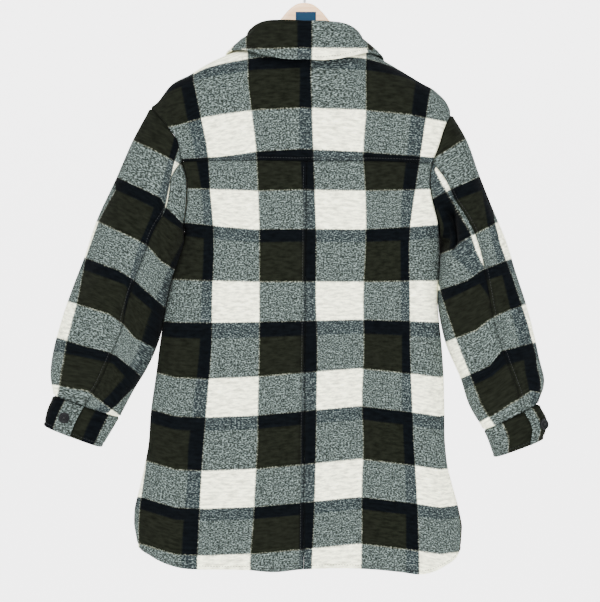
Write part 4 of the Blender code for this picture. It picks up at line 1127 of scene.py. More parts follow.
@dataclass
class Sleeve:
    """Upper and under sleeve, sewn into the armhole of the body's panels."""

    side: Side
    sections: Table
    folds: Table
    back_creases: Table
    front_creases: Table
    rows: tuple[Line, ...]
    upper_columns: tuple[Line, ...]
    under_columns: tuple[Line, ...]
    crease_fade: float = 16 * MM
    settle: float = 5.0
    armhole_share: float = 0.3

    def lift(self, angles: Array, down: Array) -> Array:
        """How far the sleeve's folds lift its cloth: a bell down and round for each."""
        lift = np.zeros_like(angles)
        for at_down, at_round, reach_down, reach_round, crest in zip(*self.folds.values()):
            off_round = angles / (2 * np.pi) - at_round
            lift = lift + crest * bell(down[:, None] - at_down, reach_down) * bell(off_round, reach_round)
        return lift * ease(4 * (1 - down))[:, None]

    def piece(
        self, name: str, ring: Array, angles: Array, seams: tuple[Array, Array], down: Array, rows: Table,
    ) -> Panel:
        """Loft a sleeve piece from its armhole points to the cuff.

        Args:
            name: The piece's name.
            ring: Its points on the armhole.
            angles: Their places on the oval.
            seams: Angles of its two edges at each section.
            down: How far down the sleeve each section is.
            rows: The sections.

        Returns:
            The panel.
        """
        share_of = (angles - angles[0]) / (angles[-1] - angles[0])
        share_of = (share_of + np.linspace(0, 1, len(angles))) / 2
        settle = ease(down * self.settle)[:, None]
        even = seams[0][:, None] + (seams[1] - seams[0])[:, None] * share_of
        turned = (1 - settle) * angles + settle * even
        points = oval(rows, turned)
        fade = (np.clip(1 - down / self.armhole_share, 0, 1) ** 2)[:, None, None]
        points = points + fade * (ring - points[0])
        core = section_cores(rows)
        lift = self.lift(turned, down) * (1 - fade[..., 0])
        return Panel.around(name, points + lift[..., None] * unit(points - core), core)

    def angles_of(self, points: Array, past: bool) -> Array:
        """Angles of armhole points on the oval, by their height."""
        top, low = self.side.armhole["z"][0], self.side.underarm
        w = np.clip((2 * points[:, 2] - top - low) / (top - low), -1, 1)
        angle = np.arccos(signed_power(w, FULLNESS / 2))
        return np.where(points[:, 1] > TINY, (2 * np.pi if past else 0) - angle, angle)

    def panels(self, yoke: Panel, back: Panel, front: Panel) -> list[Panel]:
        """Make both pieces and join their directions to the body's and to each other's."""
        column = 0 if self.side.sign < 0 else -1
        back_rows = range(len(back.points) - BACK_ARMHOLE_CELLS - 1, len(back.points))
        front_rows = range(len(front.points) - FRONT_ARMHOLE_CELLS - 1, len(front.points))
        turn = FRONT_SEAM_CELLS
        upper_ring = [(front, row) for row in front_rows[turn:-1]]
        upper_ring += [(yoke, row) for row in range(len(yoke.points))[::-1]]
        under_ring = [(back, row) for row in back_rows[::-1]]
        under_ring += [(front, row) for row in front_rows[1:turn + 1]]

        down = graded(SLEEVE_CELLS, 0.4, 0.5)
        rows = refined(self.sections, down)
        back_seam = angle_across(rows["seam"] / (1000 * MM))
        front_seam = -angle_across(np.full_like(down, FRONT_SEAM_FRACTION))
        pieces = []
        for name, ring, past, seams in (
            ("sleeve_upper", upper_ring, False, (front_seam, back_seam)),
            ("sleeve_under", under_ring, True, (back_seam, 2 * np.pi + front_seam)),
        ):
            points = np.array([panel.points[row, column] for panel, row in ring])
            angles = self.angles_of(points, past)
            piece = self.piece(f"{name}_{self.side.name}", points, angles, seams, down, rows)
            for k, (panel, row) in enumerate(ring):
                height = (points[k, 2] - self.side.underarm) / UNDERARM_OWN
                share(panel, (row, column), piece, (0, k), ease(height))
            pieces.append(piece)
        upper, under = pieces
        every = slice(None)
        share(upper, (every, -1), under, (every, 0))
        share(upper, (every, 0), under, (every, -1))
        front.normals[front_rows[turn], column] = upper.normals[0, 0]
        for panel, row in ((yoke, 0), (back, -1)):
            panel.normals[row, column] = upper.normals[0, -1]
        front.normals[-1, column] = yoke.normals[-1, column]
        for piece in pieces:
            flatten_edge(piece, -1, self.sections)
        upper.grain = self.grain(upper, self.upper_columns)
        under.grain = self.grain(under, self.under_columns)
        return pieces

    def grain(self, panel: Panel, columns: tuple[Line, ...]) -> Array:
        """Place of each point on the cloth.

        The plaid's rows and columns follow lines given on the back of the
        sleeve, in directions along the sleeve and across it. Where the cloth
        turns to the front the columns run on by its own length.
        """
        tip = section_cores(self.sections)[:, 0]
        along = unit(tip[-1] - tip[0])[[0, 2]]
        inward = np.array([-along[1], along[0]]) * -self.side.sign
        x, z = as_seen(panel.points)
        down = (x * along[0] + z * along[1]) / MM
        across = (x * inward[0] + z * inward[1]) / MM
        arc = arc_along(panel.points, 1) / MM

        turned = np.stack([along, inward], axis=1)
        lines = [(np.array(points) @ turned).T for _, points in self.rows]
        marks = [run_on(across, line[1], line[0]) for line in lines]
        rows = piecewise(down, np.stack(marks, axis=-1), [value for value, _ in self.rows])

        laid = unrolled(across, arc)
        lines = [(np.array(points) @ turned).T for _, points in columns]
        marks = [crossings(laid - run_on(down, *line), arc) for line in lines]
        values = [value for value, _ in columns]
        across_cloth = piecewise(arc, np.stack(marks, axis=-1)[:, None], values, outside=-self.side.sign)
        return np.stack([across_cloth, rows], axis=-1)

    def creases(self, panel: Panel) -> Array:
        """Lift of the creases at each point of a piece, on its back and on its front."""
        x, z = panel.points[..., 0], panel.points[..., 2]
        behind = crease_lift(x, z, self.back_creases)
        before = crease_lift(x, z, self.front_creases)
        weight = ease(0.5 - panel.points[..., 1] / CREASE_TURN)
        return behind * weight + before * (1 - weight) + sway(x, z)


def run_on(at: Array, knots: Array, values: Array) -> Array:
    """Read straight stretches between knots, run on beyond the first and the last one."""
    order = np.argsort(knots)
    knots, values = knots[order], values[order]
    first = (values[1] - values[0]) / (knots[1] - knots[0])
    last = (values[-1] - values[-2]) / (knots[-1] - knots[-2])
    read = np.interp(at, knots, values)
    return read + first * np.minimum(at - knots[0], 0) + last * np.maximum(at - knots[-1], 0)


@dataclass
class Cuff:
    """A cuff band that goes once round and laps over its own start at the back."""

    name: str
    sections: Table
    flap_edge: float
    start_cloth: float
    end_cloth: float
    row_cloth: float = 84
    under_flap: float = 0.5
    lap_start: float = 0.9
    lap_reach: float = 0.7

    def panel(self) -> Panel:
        """The band, which steps out over its start where the flap lies on it."""
        flap = angle_across(np.array(self.flap_edge))
        start = flap - self.under_flap
        weights = graded(CUFF_CELLS, 0.3, 0.75)
        down = graded(CUFF_ROWS, 0.5, 0.6)
        rows = refined(self.sections, down)
        angles = np.tile(start + (2 * np.pi + flap - start) * weights, (len(down), 1))
        points = oval(rows, angles)
        over = (angles - (2 * np.pi + start - self.lap_start)) / self.lap_reach
        core = section_cores(rows)
        lift = (WALL + LAP_GAP) * ease(over)[..., None]
        band = Panel.around(self.name, points + lift * unit(points - core), core)
        flatten_edge(band, 0, self.sections)
        arc = arc_along(band.points, 1) / MM
        columns = self.start_cloth + (self.end_cloth - self.start_cloth) * arc / arc[:, -1:]
        band.grain = np.stack([columns, self.row_cloth + arc_along(band.points, 0) / MM], axis=-1)
        return band


@dataclass
class Collar:
    """The collar's leaf and the band that it stands on."""

    tilt: float = 0.028
    stand_drop: float = 8 * MM
    stand_rise: float = 2.5 * MM
    neck_half_width: float = 81 * MM
    neck_half_depth: float = 48 * MM
    neck_middle: tuple[float, float, float] = (0, 0, -140 * MM)
    roll: tuple[tuple[float, float], ...] = ((0.0, 3.0), (1.3, 0.6), (4.2, 0.0), (7.0, 1.6), (8.6, 6.0))
    leaf: tuple[float, ...] = (0.35, 0.7, 1.0)
    bulge: float = 2.0 * MM
    finer: int = 7

    def places_round(self, neck: Array) -> Array:
        """How far round the collar each neck point lies, negative on the left."""
        turn = np.unwrap(np.arctan2(neck[:, 0], -neck[:, 1]))
        turn = turn - turn[len(neck) // 2]
        table_turn = np.arctan2(COLLAR["fold_x"], -COLLAR["fold_y"])
        reach = np.where(turn < 0, -turn[0], turn[-1])
        return np.sign(turn) * np.interp(np.abs(turn) / reach * table_turn[-1], table_turn, COLLAR["round"])

    def sections(self, at: Array) -> tuple[Array, Array]:
        """Fold and edge of the collar at places from its left front end to the right one."""
        side = np.sign(at)
        columns = {name: smooth(np.abs(at), COLLAR["round"], column) for name, column in COLLAR.items()}
        fold = np.stack([side * columns["fold_x"], columns["fold_y"], columns["fold_z"]], axis=-1)
        edge = np.stack([side * columns["edge_x"], columns["edge_y"], columns["edge_z"]], axis=-1)
        for line in (fold, edge):
            line[:, 2] -= self.tilt * line[:, 0]
        return fold, edge

    def fall(self, at: Array) -> Panel:
        """The collar's leaf: up from the stand, over the fold and down to its edge.

        Its rows are carried along the fold: each stands out from the neck and
        drops by its own amounts, and the fall goes straight to the edge with a
        slight bulge. Smooth curves through those rows make the finer ones.
        """
        fold, edge = self.sections(at)
        scale = np.array([self.neck_half_width, self.neck_half_depth]) ** 2
        out = unit(np.stack([fold[:, 0] / scale[0], fold[:, 1] / scale[1], 0 * fold[:, 0]], axis=-1))
        down = np.array([0, 0, -1.0])
        rows = [fold + self.stand_drop * down]
        rows += [fold + outward * MM * out + drop * MM * down for outward, drop in self.roll]
        start = rows[-1]
        rows += [start + (edge - start) * t + self.bulge * np.sin(np.pi * t) * out for t in self.leaf]
        coarse = np.stack(rows)
        knots = arc_along(coarse, 0).mean(axis=1)
        count = len(self.roll)
        fine = [np.linspace(a, b, self.finer + 1)[:-1] for a, b in zip(knots[:count], knots[1:])]
        fine.append(knots[count] + (knots[-1] - knots[count]) * graded(5 * self.finer, 0, 0.5))
        points = smooth(np.concatenate(fine), knots, coarse)
        normals = unit(np.cross(np.gradient(points, axis=0), np.gradient(points, axis=1)))
        panel = Panel("collar", points, normals)
        panel.grain = self.grain(points)
        return panel

    def grain(self, points: Array) -> Array:
        """Place of each point on the cloth: columns seen from behind, one line between two rows."""
        x, z = as_seen(points)
        arc = arc_along(points, 1)
        laid = unrolled(x, arc)
        marks = np.stack([crossings(laid - line, arc) for line in COLLAR_WARP["x"]], axis=-1)[:, None]
        columns = piecewise(arc / MM, marks / MM, COLLAR_WARP["cloth"] / MM)
        down = arc_along(points, 0)
        below = unrolled((np.interp(x, COLLAR_ROW_LINE["x"], COLLAR_ROW_LINE["z"]) - z).T, down.T)
        rows = (down.T - crossings(below, down.T)[:, None]).T / MM
        return np.stack([columns, rows], axis=-1)

    def stand(self, neck: Array, collar: Panel) -> Panel:
        """The band between the neck seam and the foot of the collar's leaf."""
        top = collar.points[0] - WALL * collar.normals[0]
        into_neck = (np.array(self.neck_middle) - neck) * np.array([1, 0, 1])
        low = neck + self.stand_rise * unit(into_neck)
        points = low + (top - low) * np.linspace(0, 1, STAND_ROWS)[:, None, None]
        stand = Panel.around("collar_stand", points, points * np.array([0, 0, 1]))
        stand.normals[-1] = -collar.normals[0]
        stand.grain = np.stack([arc_along(points, 1), WEFT_WHITE * MM + arc_along(points, 0)], axis=-1) / MM
        return stand


def read_line(at: Array, run: Array, line: Array) -> Array:
    """Read a line of points or directions at distances along it."""
    return np.stack([np.interp(at, run, line[:, k]) for k in range(3)], axis=-1)


def square_to(line: Array, direction: Array) -> Array:
    """Take out of a direction what runs along the line."""
    along = unit(np.gradient(line, axis=0))
    return unit(direction - np.sum(direction * along, axis=-1, keepdims=True) * along)


def grid_faces(index: Array) -> Array:
    """Quads of a grid of vertex numbers."""
    return np.stack([index[:-1, :-1], index[:-1, 1:], index[1:, 1:], index[1:, :-1]], axis=-1).reshape(-1, 4)


def tube_faces(index: Array) -> Array:
    """Quads round a tube whose rings are rows of vertex numbers."""
    return grid_faces(np.concatenate([index, index[:, :1]], axis=1))


def band_faces(near: Array, far: Array) -> Array:
    """Quads between two loops of vertex numbers."""
    return np.stack([near, far, np.roll(far, -1), np.roll(near, -1)], axis=-1)


def rim(values: Array) -> Array:
    """A grid's values once round its edge."""
    return np.concatenate([values[0, :-1], values[:-1, -1], values[-1, :0:-1], values[:0:-1, 0]])


def mesh_of(name: str, vertices: Array, faces: Array, sharp: float = 50) -> Mesh:
    """Make a smooth shaded mesh with its edges sharp above an angle in degrees."""
    mesh = bpy.data.meshes.new(name)
    mesh.from_pydata(vertices.tolist(), [], faces.tolist() if isinstance(faces, Array) else faces)
    mesh.shade_smooth()
    mesh.set_sharp_from_angle(angle=np.radians(sharp))
    return mesh


def added(name: str, data: bpy.types.ID) -> Piece:
    """Make an object and put it into the scene."""
    made = bpy.data.objects.new(name, data)
    bpy.context.scene.collection.objects.link(made)
    return made


def paint_grain(mesh: Mesh, grain: Array) -> None:
    """Write each vertex's place on the cloth into the UV map named grain."""
    corners = np.empty(len(mesh.loops), dtype=np.int32)
    mesh.loops.foreach_get("vertex_index", corners)
    layer = mesh.uv_layers.new(name="grain")
    layer.data.foreach_set("uv", (grain / GRAIN_UNIT)[corners].astype(np.float32).ravel())


@dataclass
class Workroom:
    """Turns panels and grids into finished pieces of the scene."""

    soft_inset: float = 1.0 * MM
    stitch_pitch: float = 4.2 * MM
    stitch_length: float = 3.1 * MM
    stitch_radius: float = 0.42 * MM
    stitch_rise: float = 0.25 * MM
    stitch_dip: float = 2.8 * MM

    def place(self, name: str, mesh: Mesh, finish: Finish) -> Piece:
        """Put a mesh into the scene with its finish, riding on the one body."""
        mesh.materials.append(finish)
        made = added(name, mesh)
        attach(made, "root")
        return made

    def wall(self, panel: Panel, edges: Edges, finish: Finish) -> Piece:
        """Build a panel as a closed wall of cloth with soft edges where it ends free.

        The inner face is the outer one moved in by the wall. All four edges are
        drawn in by half the seam's gap. A free edge's two faces are drawn in a
        little more, and a line half way between them stays out, so that the
        edge is round.
        """
        points, drawn, middle = panel.points, panel.points.copy(), panel.points.copy()
        for edge, axis, far in edges.sides():
            lines = np.moveaxis(points, axis, 0)
            lines = lines[::-1] if far else lines
            inward = square_to(lines[0], lines[1] - lines[0])
            inset = SEAM_GAP / 2 + (self.soft_inset if edge in (Edge.FREE, Edge.BOUND) else 0)
            for target, amount in ((drawn, inset), (middle, SEAM_GAP / 2)):
                np.moveaxis(target, axis, 0)[-1 if far else 0] += amount * inward
        rows, columns = points.shape[:2]
        outside = np.arange(rows * columns).reshape(rows, columns)
        inside = outside + rows * columns
        around = rim(outside)
        between = 2 * rows * columns + np.arange(len(around))
        halfway = rim(middle - WALL / 2 * panel.normals)
        both_faces = np.stack([drawn, drawn - WALL * panel.normals]).reshape(-1, 3)
        vertices = np.concatenate([both_faces, halfway])
        grain = panel.grain.reshape(-1, 2)
        faces = [grid_faces(outside), grid_faces(inside)[:, ::-1]]
        faces = np.concatenate(faces + [band_faces(around, between), band_faces(between, rim(inside))])
        across, up = points[0, 1] - points[0, 0], points[1, 0] - points[0, 0]
        if np.dot(np.cross(across, up), panel.normals[0, 0]) < 0:
            faces = faces[:, ::-1]
        mesh = mesh_of(panel.name + "_cloth", vertices, faces)
        paint_grain(mesh, np.concatenate([grain, grain, rim(panel.grain)]))
        cloth = self.place(panel.name + "_cloth", mesh, finish)
        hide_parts(panel.name)
        return cloth

    def stitches(self, panel: Panel, edges: Edges, thread: Finish) -> Piece | None:
        """Lay a row of stitches beside each edge that has one.

        A stitch is a short bar of round rings, thick in the middle and thin at
        its ends, which dip into the cloth.
        """
        found = []
        for edge, axis, far in edges.sides():
            if edge in TURNED_IN:
                found.append(self.stitch_row(*panel.line_beside(axis, far, STITCH_INSET)))
        if not found:
            return None
        offset, vertices, faces = 0, [], []
        for row_vertices, row_faces in found:
            vertices.append(row_vertices)
            faces += (row_faces + offset).tolist()
            offset += len(row_vertices)
        mesh = mesh_of(panel.name + "_stitches", np.concatenate(vertices), faces, 180)
        made = self.place(panel.name + "_stitches", mesh, thread)
        return made

    def stitch_row(self, line: Array, normals: Array) -> tuple[Array, Array]:
        """Vertices and faces of one row of stitches along a line."""
        run = arc_along(line, 0)
        count = max(1, int((run[-1] - 2 * STITCH_INSET) / self.stitch_pitch))
        at = STITCH_INSET + self.stitch_pitch * (np.arange(count) + 0.5)
        centre = read_line(at, run, line)
        facing = unit(read_line(at, run, normals))
        along = unit(read_line(at + 1 * MM, run, line) - centre + TINY)
        side = np.cross(facing, along)
        sides = 4
        turn = 2 * np.pi * np.arange(sides) / sides
        place = np.array([-0.5, -0.25, 0.25, 0.5])
        thick = np.array([0.5, 1.0, 1.0, 0.5])
        sink = self.stitch_rise - self.stitch_dip * place**2
        ring_side = self.stitch_radius * thick[:, None] * np.cos(turn)
        ring_up = self.stitch_radius * thick[:, None] * np.sin(turn) + sink[:, None]
        ring_along = np.broadcast_to(self.stitch_length * place[:, None], ring_up.shape)
        body = (centre[:, None, None] + along[:, None, None] * ring_along[..., None]
                + side[:, None, None] * ring_side[..., None] + facing[:, None, None] * ring_up[..., None])
        index = np.arange(len(place) * sides).reshape(len(place), sides)
        faces = np.concatenate([tube_faces(index), index[:1, ::-1], index[-1:]])
        faces = faces[None] + (np.arange(count) * len(place) * sides)[:, None, None]
        return body.reshape(-1, 3), faces.reshape(-1, 4)


def neck_loop(yoke: Panel, front_left: Panel, front_right: Panel) -> Array:
    """Neck seam points from the left front end over the back to the right front end."""
    first = SHOULDER_CELLS
    left = front_left.points[-1, first:][::-1]
    right = front_right.points[-1, :-first][::-1]
    return np.concatenate([left, yoke.points[-1, first + 1:-first - 1], right])


Socket = bpy.types.NodeSocket
Value = float | tuple[float, ...] | Socket


def linear(red: int, green: int, blue: int) -> tuple[float, float, float, float]:
    """Turn a colour as seen on a screen into the renderer's own scale."""
    seen = np.array([red, green, blue]) / 255
    light = np.where(seen <= 0.04045, seen / 12.92, ((seen + 0.055) / 1.055) ** 2.4)
    return (*light.tolist(), 1.0)


class Graph:
    """The nodes of one material."""

    def __init__(self, name: str) -> None:
        """Start a material with its Principled shader."""
        self.material = bpy.data.materials.new(name)
        self.material.use_nodes = True
        self.shader = self.material.node_tree.nodes["Principled BSDF"]

    def fill(self, socket: Socket, value: Value) -> None:
        """Link an input to an output, or give it a value."""
        if isinstance(value, Socket):
            self.material.node_tree.links.new(value, socket)
        else:
            socket.default_value = value

    def node(self, kind: str, values: dict[str | int, Value], **settings: object) -> bpy.types.Node:
        """Add a node, set its options and fill or link its inputs."""
        made = self.material.node_tree.nodes.new(kind)
        for key, setting in settings.items():
            setattr(made, key, setting)
        for key, value in values.items():
            self.fill(made.inputs[key], value)
        return made

    def math(self, operation: str, *values: Value) -> Socket:
        """Do arithmetic on numbers."""
        return self.node("ShaderNodeMath", dict(enumerate(values)), operation=operation).outputs[0]

    def scaled(self, vector: Socket, factors: tuple[float, float, float]) -> Socket:
        """Multiply a place by three factors."""
        return self.node("ShaderNodeVectorMath", {0: vector, 1: factors}, operation="MULTIPLY").outputs[0]

    def noise(self, place: Socket, detail: float, roughness: float = 0.5) -> Socket:
        """Noise from 0 to 1 with spots about one unit across."""
        values = {"Vector": place, "Scale": 1.0, "Detail": detail, "Roughness": roughness}
        return self.node("ShaderNodeTexNoise", values).outputs["Fac"]

    def step(self, value: Socket, middle: float, reach: float) -> Socket:
        """Go from 0 to 1 round a value, over its reach to each side."""
        values = {"Value": value, "From Min": middle - reach, "From Max": middle + reach}
        return self.node("ShaderNodeMapRange", values, interpolation_type="SMOOTHSTEP").outputs["Result"]

    def mix(self, share_of: Value, first: Value, second: Value) -> Socket:
        """Mix two colours."""
        return self.node("ShaderNodeMix", {0: share_of, 6: first, 7: second}, data_type="RGBA").outputs[2]

    def set(self, **values: Value) -> None:
        """Fill or link the shader's inputs, named with low lines for spaces."""
        for name, value in values.items():
            self.fill(self.shader.inputs[name.replace("_", " ")], value)

    def bump(self, height: Socket, distance: float, strength: float = 1.0) -> None:
        """Roughen the surface by a height in units of the distance."""
        made = self.node("ShaderNodeBump", {"Height": height, "Distance": distance, "Strength": strength})
        self.set(Normal=made.outputs["Normal"])


@dataclass(frozen=True)
class PlaidCloth:
    """Brushed plaid: columns and rows of three yarns that mix where they cross."""

    name: str = "plaid_cloth"
    cream: Colour = (233, 234, 205)
    cool: Colour = (122, 136, 133)
    olive: Colour = (17, 19, 14)
    navy: Colour = (5, 7, 9)
    blue: Colour = (6, 9, 15)
    speckle: float = 1.8
    threshold: float = 0.575

    def bands(
        self, graph: Graph, place: Socket, repeat: float, marks: tuple[float, float, float],
    ) -> tuple[Socket, Socket]:
        """Shares of navy and of cream in one direction.

        Args:
            graph: The material's nodes.
            place: Place on the cloth in that direction.
            repeat: Width of the three stripes together.
            marks: Start of the repeat, then the widths of its first two stripes
                after olive: navy and cream, or cream and navy for the rows.

        Returns:
            Navy's share and cream's share.
        """
        shift, first, second = marks
        lead = 30.0
        turned = graph.math("FLOORED_MODULO", graph.math("ADD", place, lead - shift), repeat)
        rise = graph.step(turned, lead, 1.6)
        change = graph.step(turned, lead + first, 0.9)
        fall = graph.step(turned, lead + first + second, 1.6)
        return graph.math("SUBTRACT", rise, change), graph.math("SUBTRACT", change, fall)

    def build(self) -> Finish:
        """Make the material."""
        graph = Graph(self.name)
        grain = graph.node("ShaderNodeUVMap", {}, uv_map="grain").outputs["UV"]
        place = graph.scaled(grain, (GRAIN_UNIT, GRAIN_UNIT, 1.0))
        split = graph.node("ShaderNodeSeparateXYZ", {0: place})
        ragged = graph.noise(graph.scaled(place, (0.45, 0.45, 1)), 3, 0.6)
        ragged = graph.math("MULTIPLY", graph.math("SUBTRACT", ragged, 0.5), 5.0)
        across = graph.math("ADD", split.outputs[0], ragged)
        down = graph.math("ADD", split.outputs[1], ragged)
        navy_across, cream_across = self.bands(graph, across, WARP_REPEAT, (0.0, WARP_NAVY, WARP_WHITE))
        cream_down, navy_down = self.bands(graph, down, WEFT_REPEAT, (0.0, WEFT_WHITE, WEFT_NAVY))

        spots = graph.noise(graph.scaled(place, (0.65 / self.speckle, 1 / self.speckle, 1)), 2, 0.55)
        streaks = graph.noise(graph.scaled(place, (0.09, 0.35, 1)), 3, 0.6)
        navy = graph.math("MAXIMUM", navy_across, navy_down)
        level = graph.math("ADD", spots, graph.math("MULTIPLY", graph.math("SUBTRACT", streaks, 0.5), 0.16))
        level = graph.math("SUBTRACT", level, graph.math("MULTIPLY", navy, 0.05))
        mingled = graph.step(level, self.threshold, 0.15)
        mingled = graph.math("ADD", graph.math("MULTIPLY", mingled, 0.76), 0.05)
        both = graph.math("MULTIPLY", cream_across, cream_down)
        either = graph.math("ADD", cream_across, cream_down)
        either = graph.math("SUBTRACT", either, graph.math("MULTIPLY", both, 2.0))
        light = graph.math("ADD", both, graph.math("MULTIPLY", either, mingled))

        nap = graph.step(graph.noise(graph.scaled(place, (0.07, 0.24, 1)), 5, 0.65), 0.5, 0.27)
        reach = graph.math("ADD", 1.1, graph.math("MULTIPLY", graph.math("SUBTRACT", both, light), 0.5))
        shade = graph.math("MULTIPLY", graph.math("SUBTRACT", nap, 0.5), reach)
        deep = graph.mix(either, linear(*self.navy), linear(*self.blue))
        dark = graph.mix(navy, linear(*self.olive), deep)
        lit = graph.mix(either, linear(*self.cream), linear(*self.cool))
        colour = graph.mix(light, dark, lit)
        brightness = graph.math("ADD", shade, 1.0)
        tone = graph.node("ShaderNodeHueSaturation", {"Value": brightness, "Color": colour})
        fuzz = graph.noise(graph.scaled(place, (1.1, 1.4, 1)), 4, 0.7)
        graph.set(Base_Color=tone.outputs["Color"], Roughness=0.95, Specular_IOR_Level=0.01)
        graph.set(Sheen_Weight=0.015, Sheen_Roughness=0.5, Sheen_Tint=linear(205, 205, 200))
        graph.bump(fuzz, 0.9 * MM)
        return graph.material


@dataclass(frozen=True)
class Plain:
    """A finish of one colour with slight unevenness."""

    name: str
    colour: Colour
    roughness: float
    metallic: float = 0.0
    coat: float = 0.0
    gloss: float = 0.5
    unevenness: float = 0.1

    def build(self) -> Finish:
        """Make the material."""
        graph = Graph(self.name)
        place = graph.node("ShaderNodeTexCoord", {}).outputs["Object"]
        spots = graph.noise(graph.scaled(place, (400.0, 400.0, 400.0)), 3)
        value = graph.math("ADD", graph.math("MULTIPLY", spots, self.unevenness), 1 - self.unevenness / 2)
        tone = graph.node("ShaderNodeHueSaturation", {"Value": value, "Color": linear(*self.colour)})
        graph.set(Base_Color=tone.outputs["Color"], Roughness=self.roughness, Metallic=self.metallic)
        graph.set(Coat_Weight=self.coat, Specular_IOR_Level=self.gloss)
        return graph.material


@dataclass(frozen=True)
class PaleWood:
    """Varnished pale wood whose grain runs along the hanger's arms."""

    name: str = "pale_wood_varnished"
    light: Colour = (240, 205, 163)
    dark: Colour = (219, 172, 124)

    def build(self) -> Finish:
        """Make the material."""
        graph = Graph(self.name)
        place = graph.node("ShaderNodeTexCoord", {}).outputs["Object"]
        rings = graph.noise(graph.scaled(place, (9.0, 160.0, 160.0)), 4, 0.6)
        pores = graph.noise(graph.scaled(place, (60.0, 1400.0, 1400.0)), 2)
        level = graph.math("ADD", graph.math("MULTIPLY", rings, 0.8), graph.math("MULTIPLY", pores, 0.2))
        graph.set(Base_Color=graph.mix(graph.step(level, 0.5, 0.22), linear(*self.light), linear(*self.dark)))
        graph.set(Roughness=0.42, Coat_Weight=0.25, Coat_Roughness=0.3)
        graph.bump(pores, 0.15 * MM)
        return graph.material


def loft(name: str, rings: Array, sharp: float = 50) -> Mesh:
    """Close a row of rings into a solid, with a middle point on each end."""
    count, sides = rings.shape[:2]
    index = np.arange(count * sides).reshape(count, sides)
    ends = np.stack([rings[0].mean(axis=0), rings[-1].mean(axis=0)])
    faces = tube_faces(index).tolist()
    for ring, middle, turn in ((index[0], count * sides, 1), (index[-1], count * sides + 1, -1)):
        faces += [(int(a), int(b), middle)[::turn] for a, b in zip(np.roll(ring, -1), ring)]
    return mesh_of(name, np.concatenate([rings.reshape(-1, 3), ends]), faces, sharp)


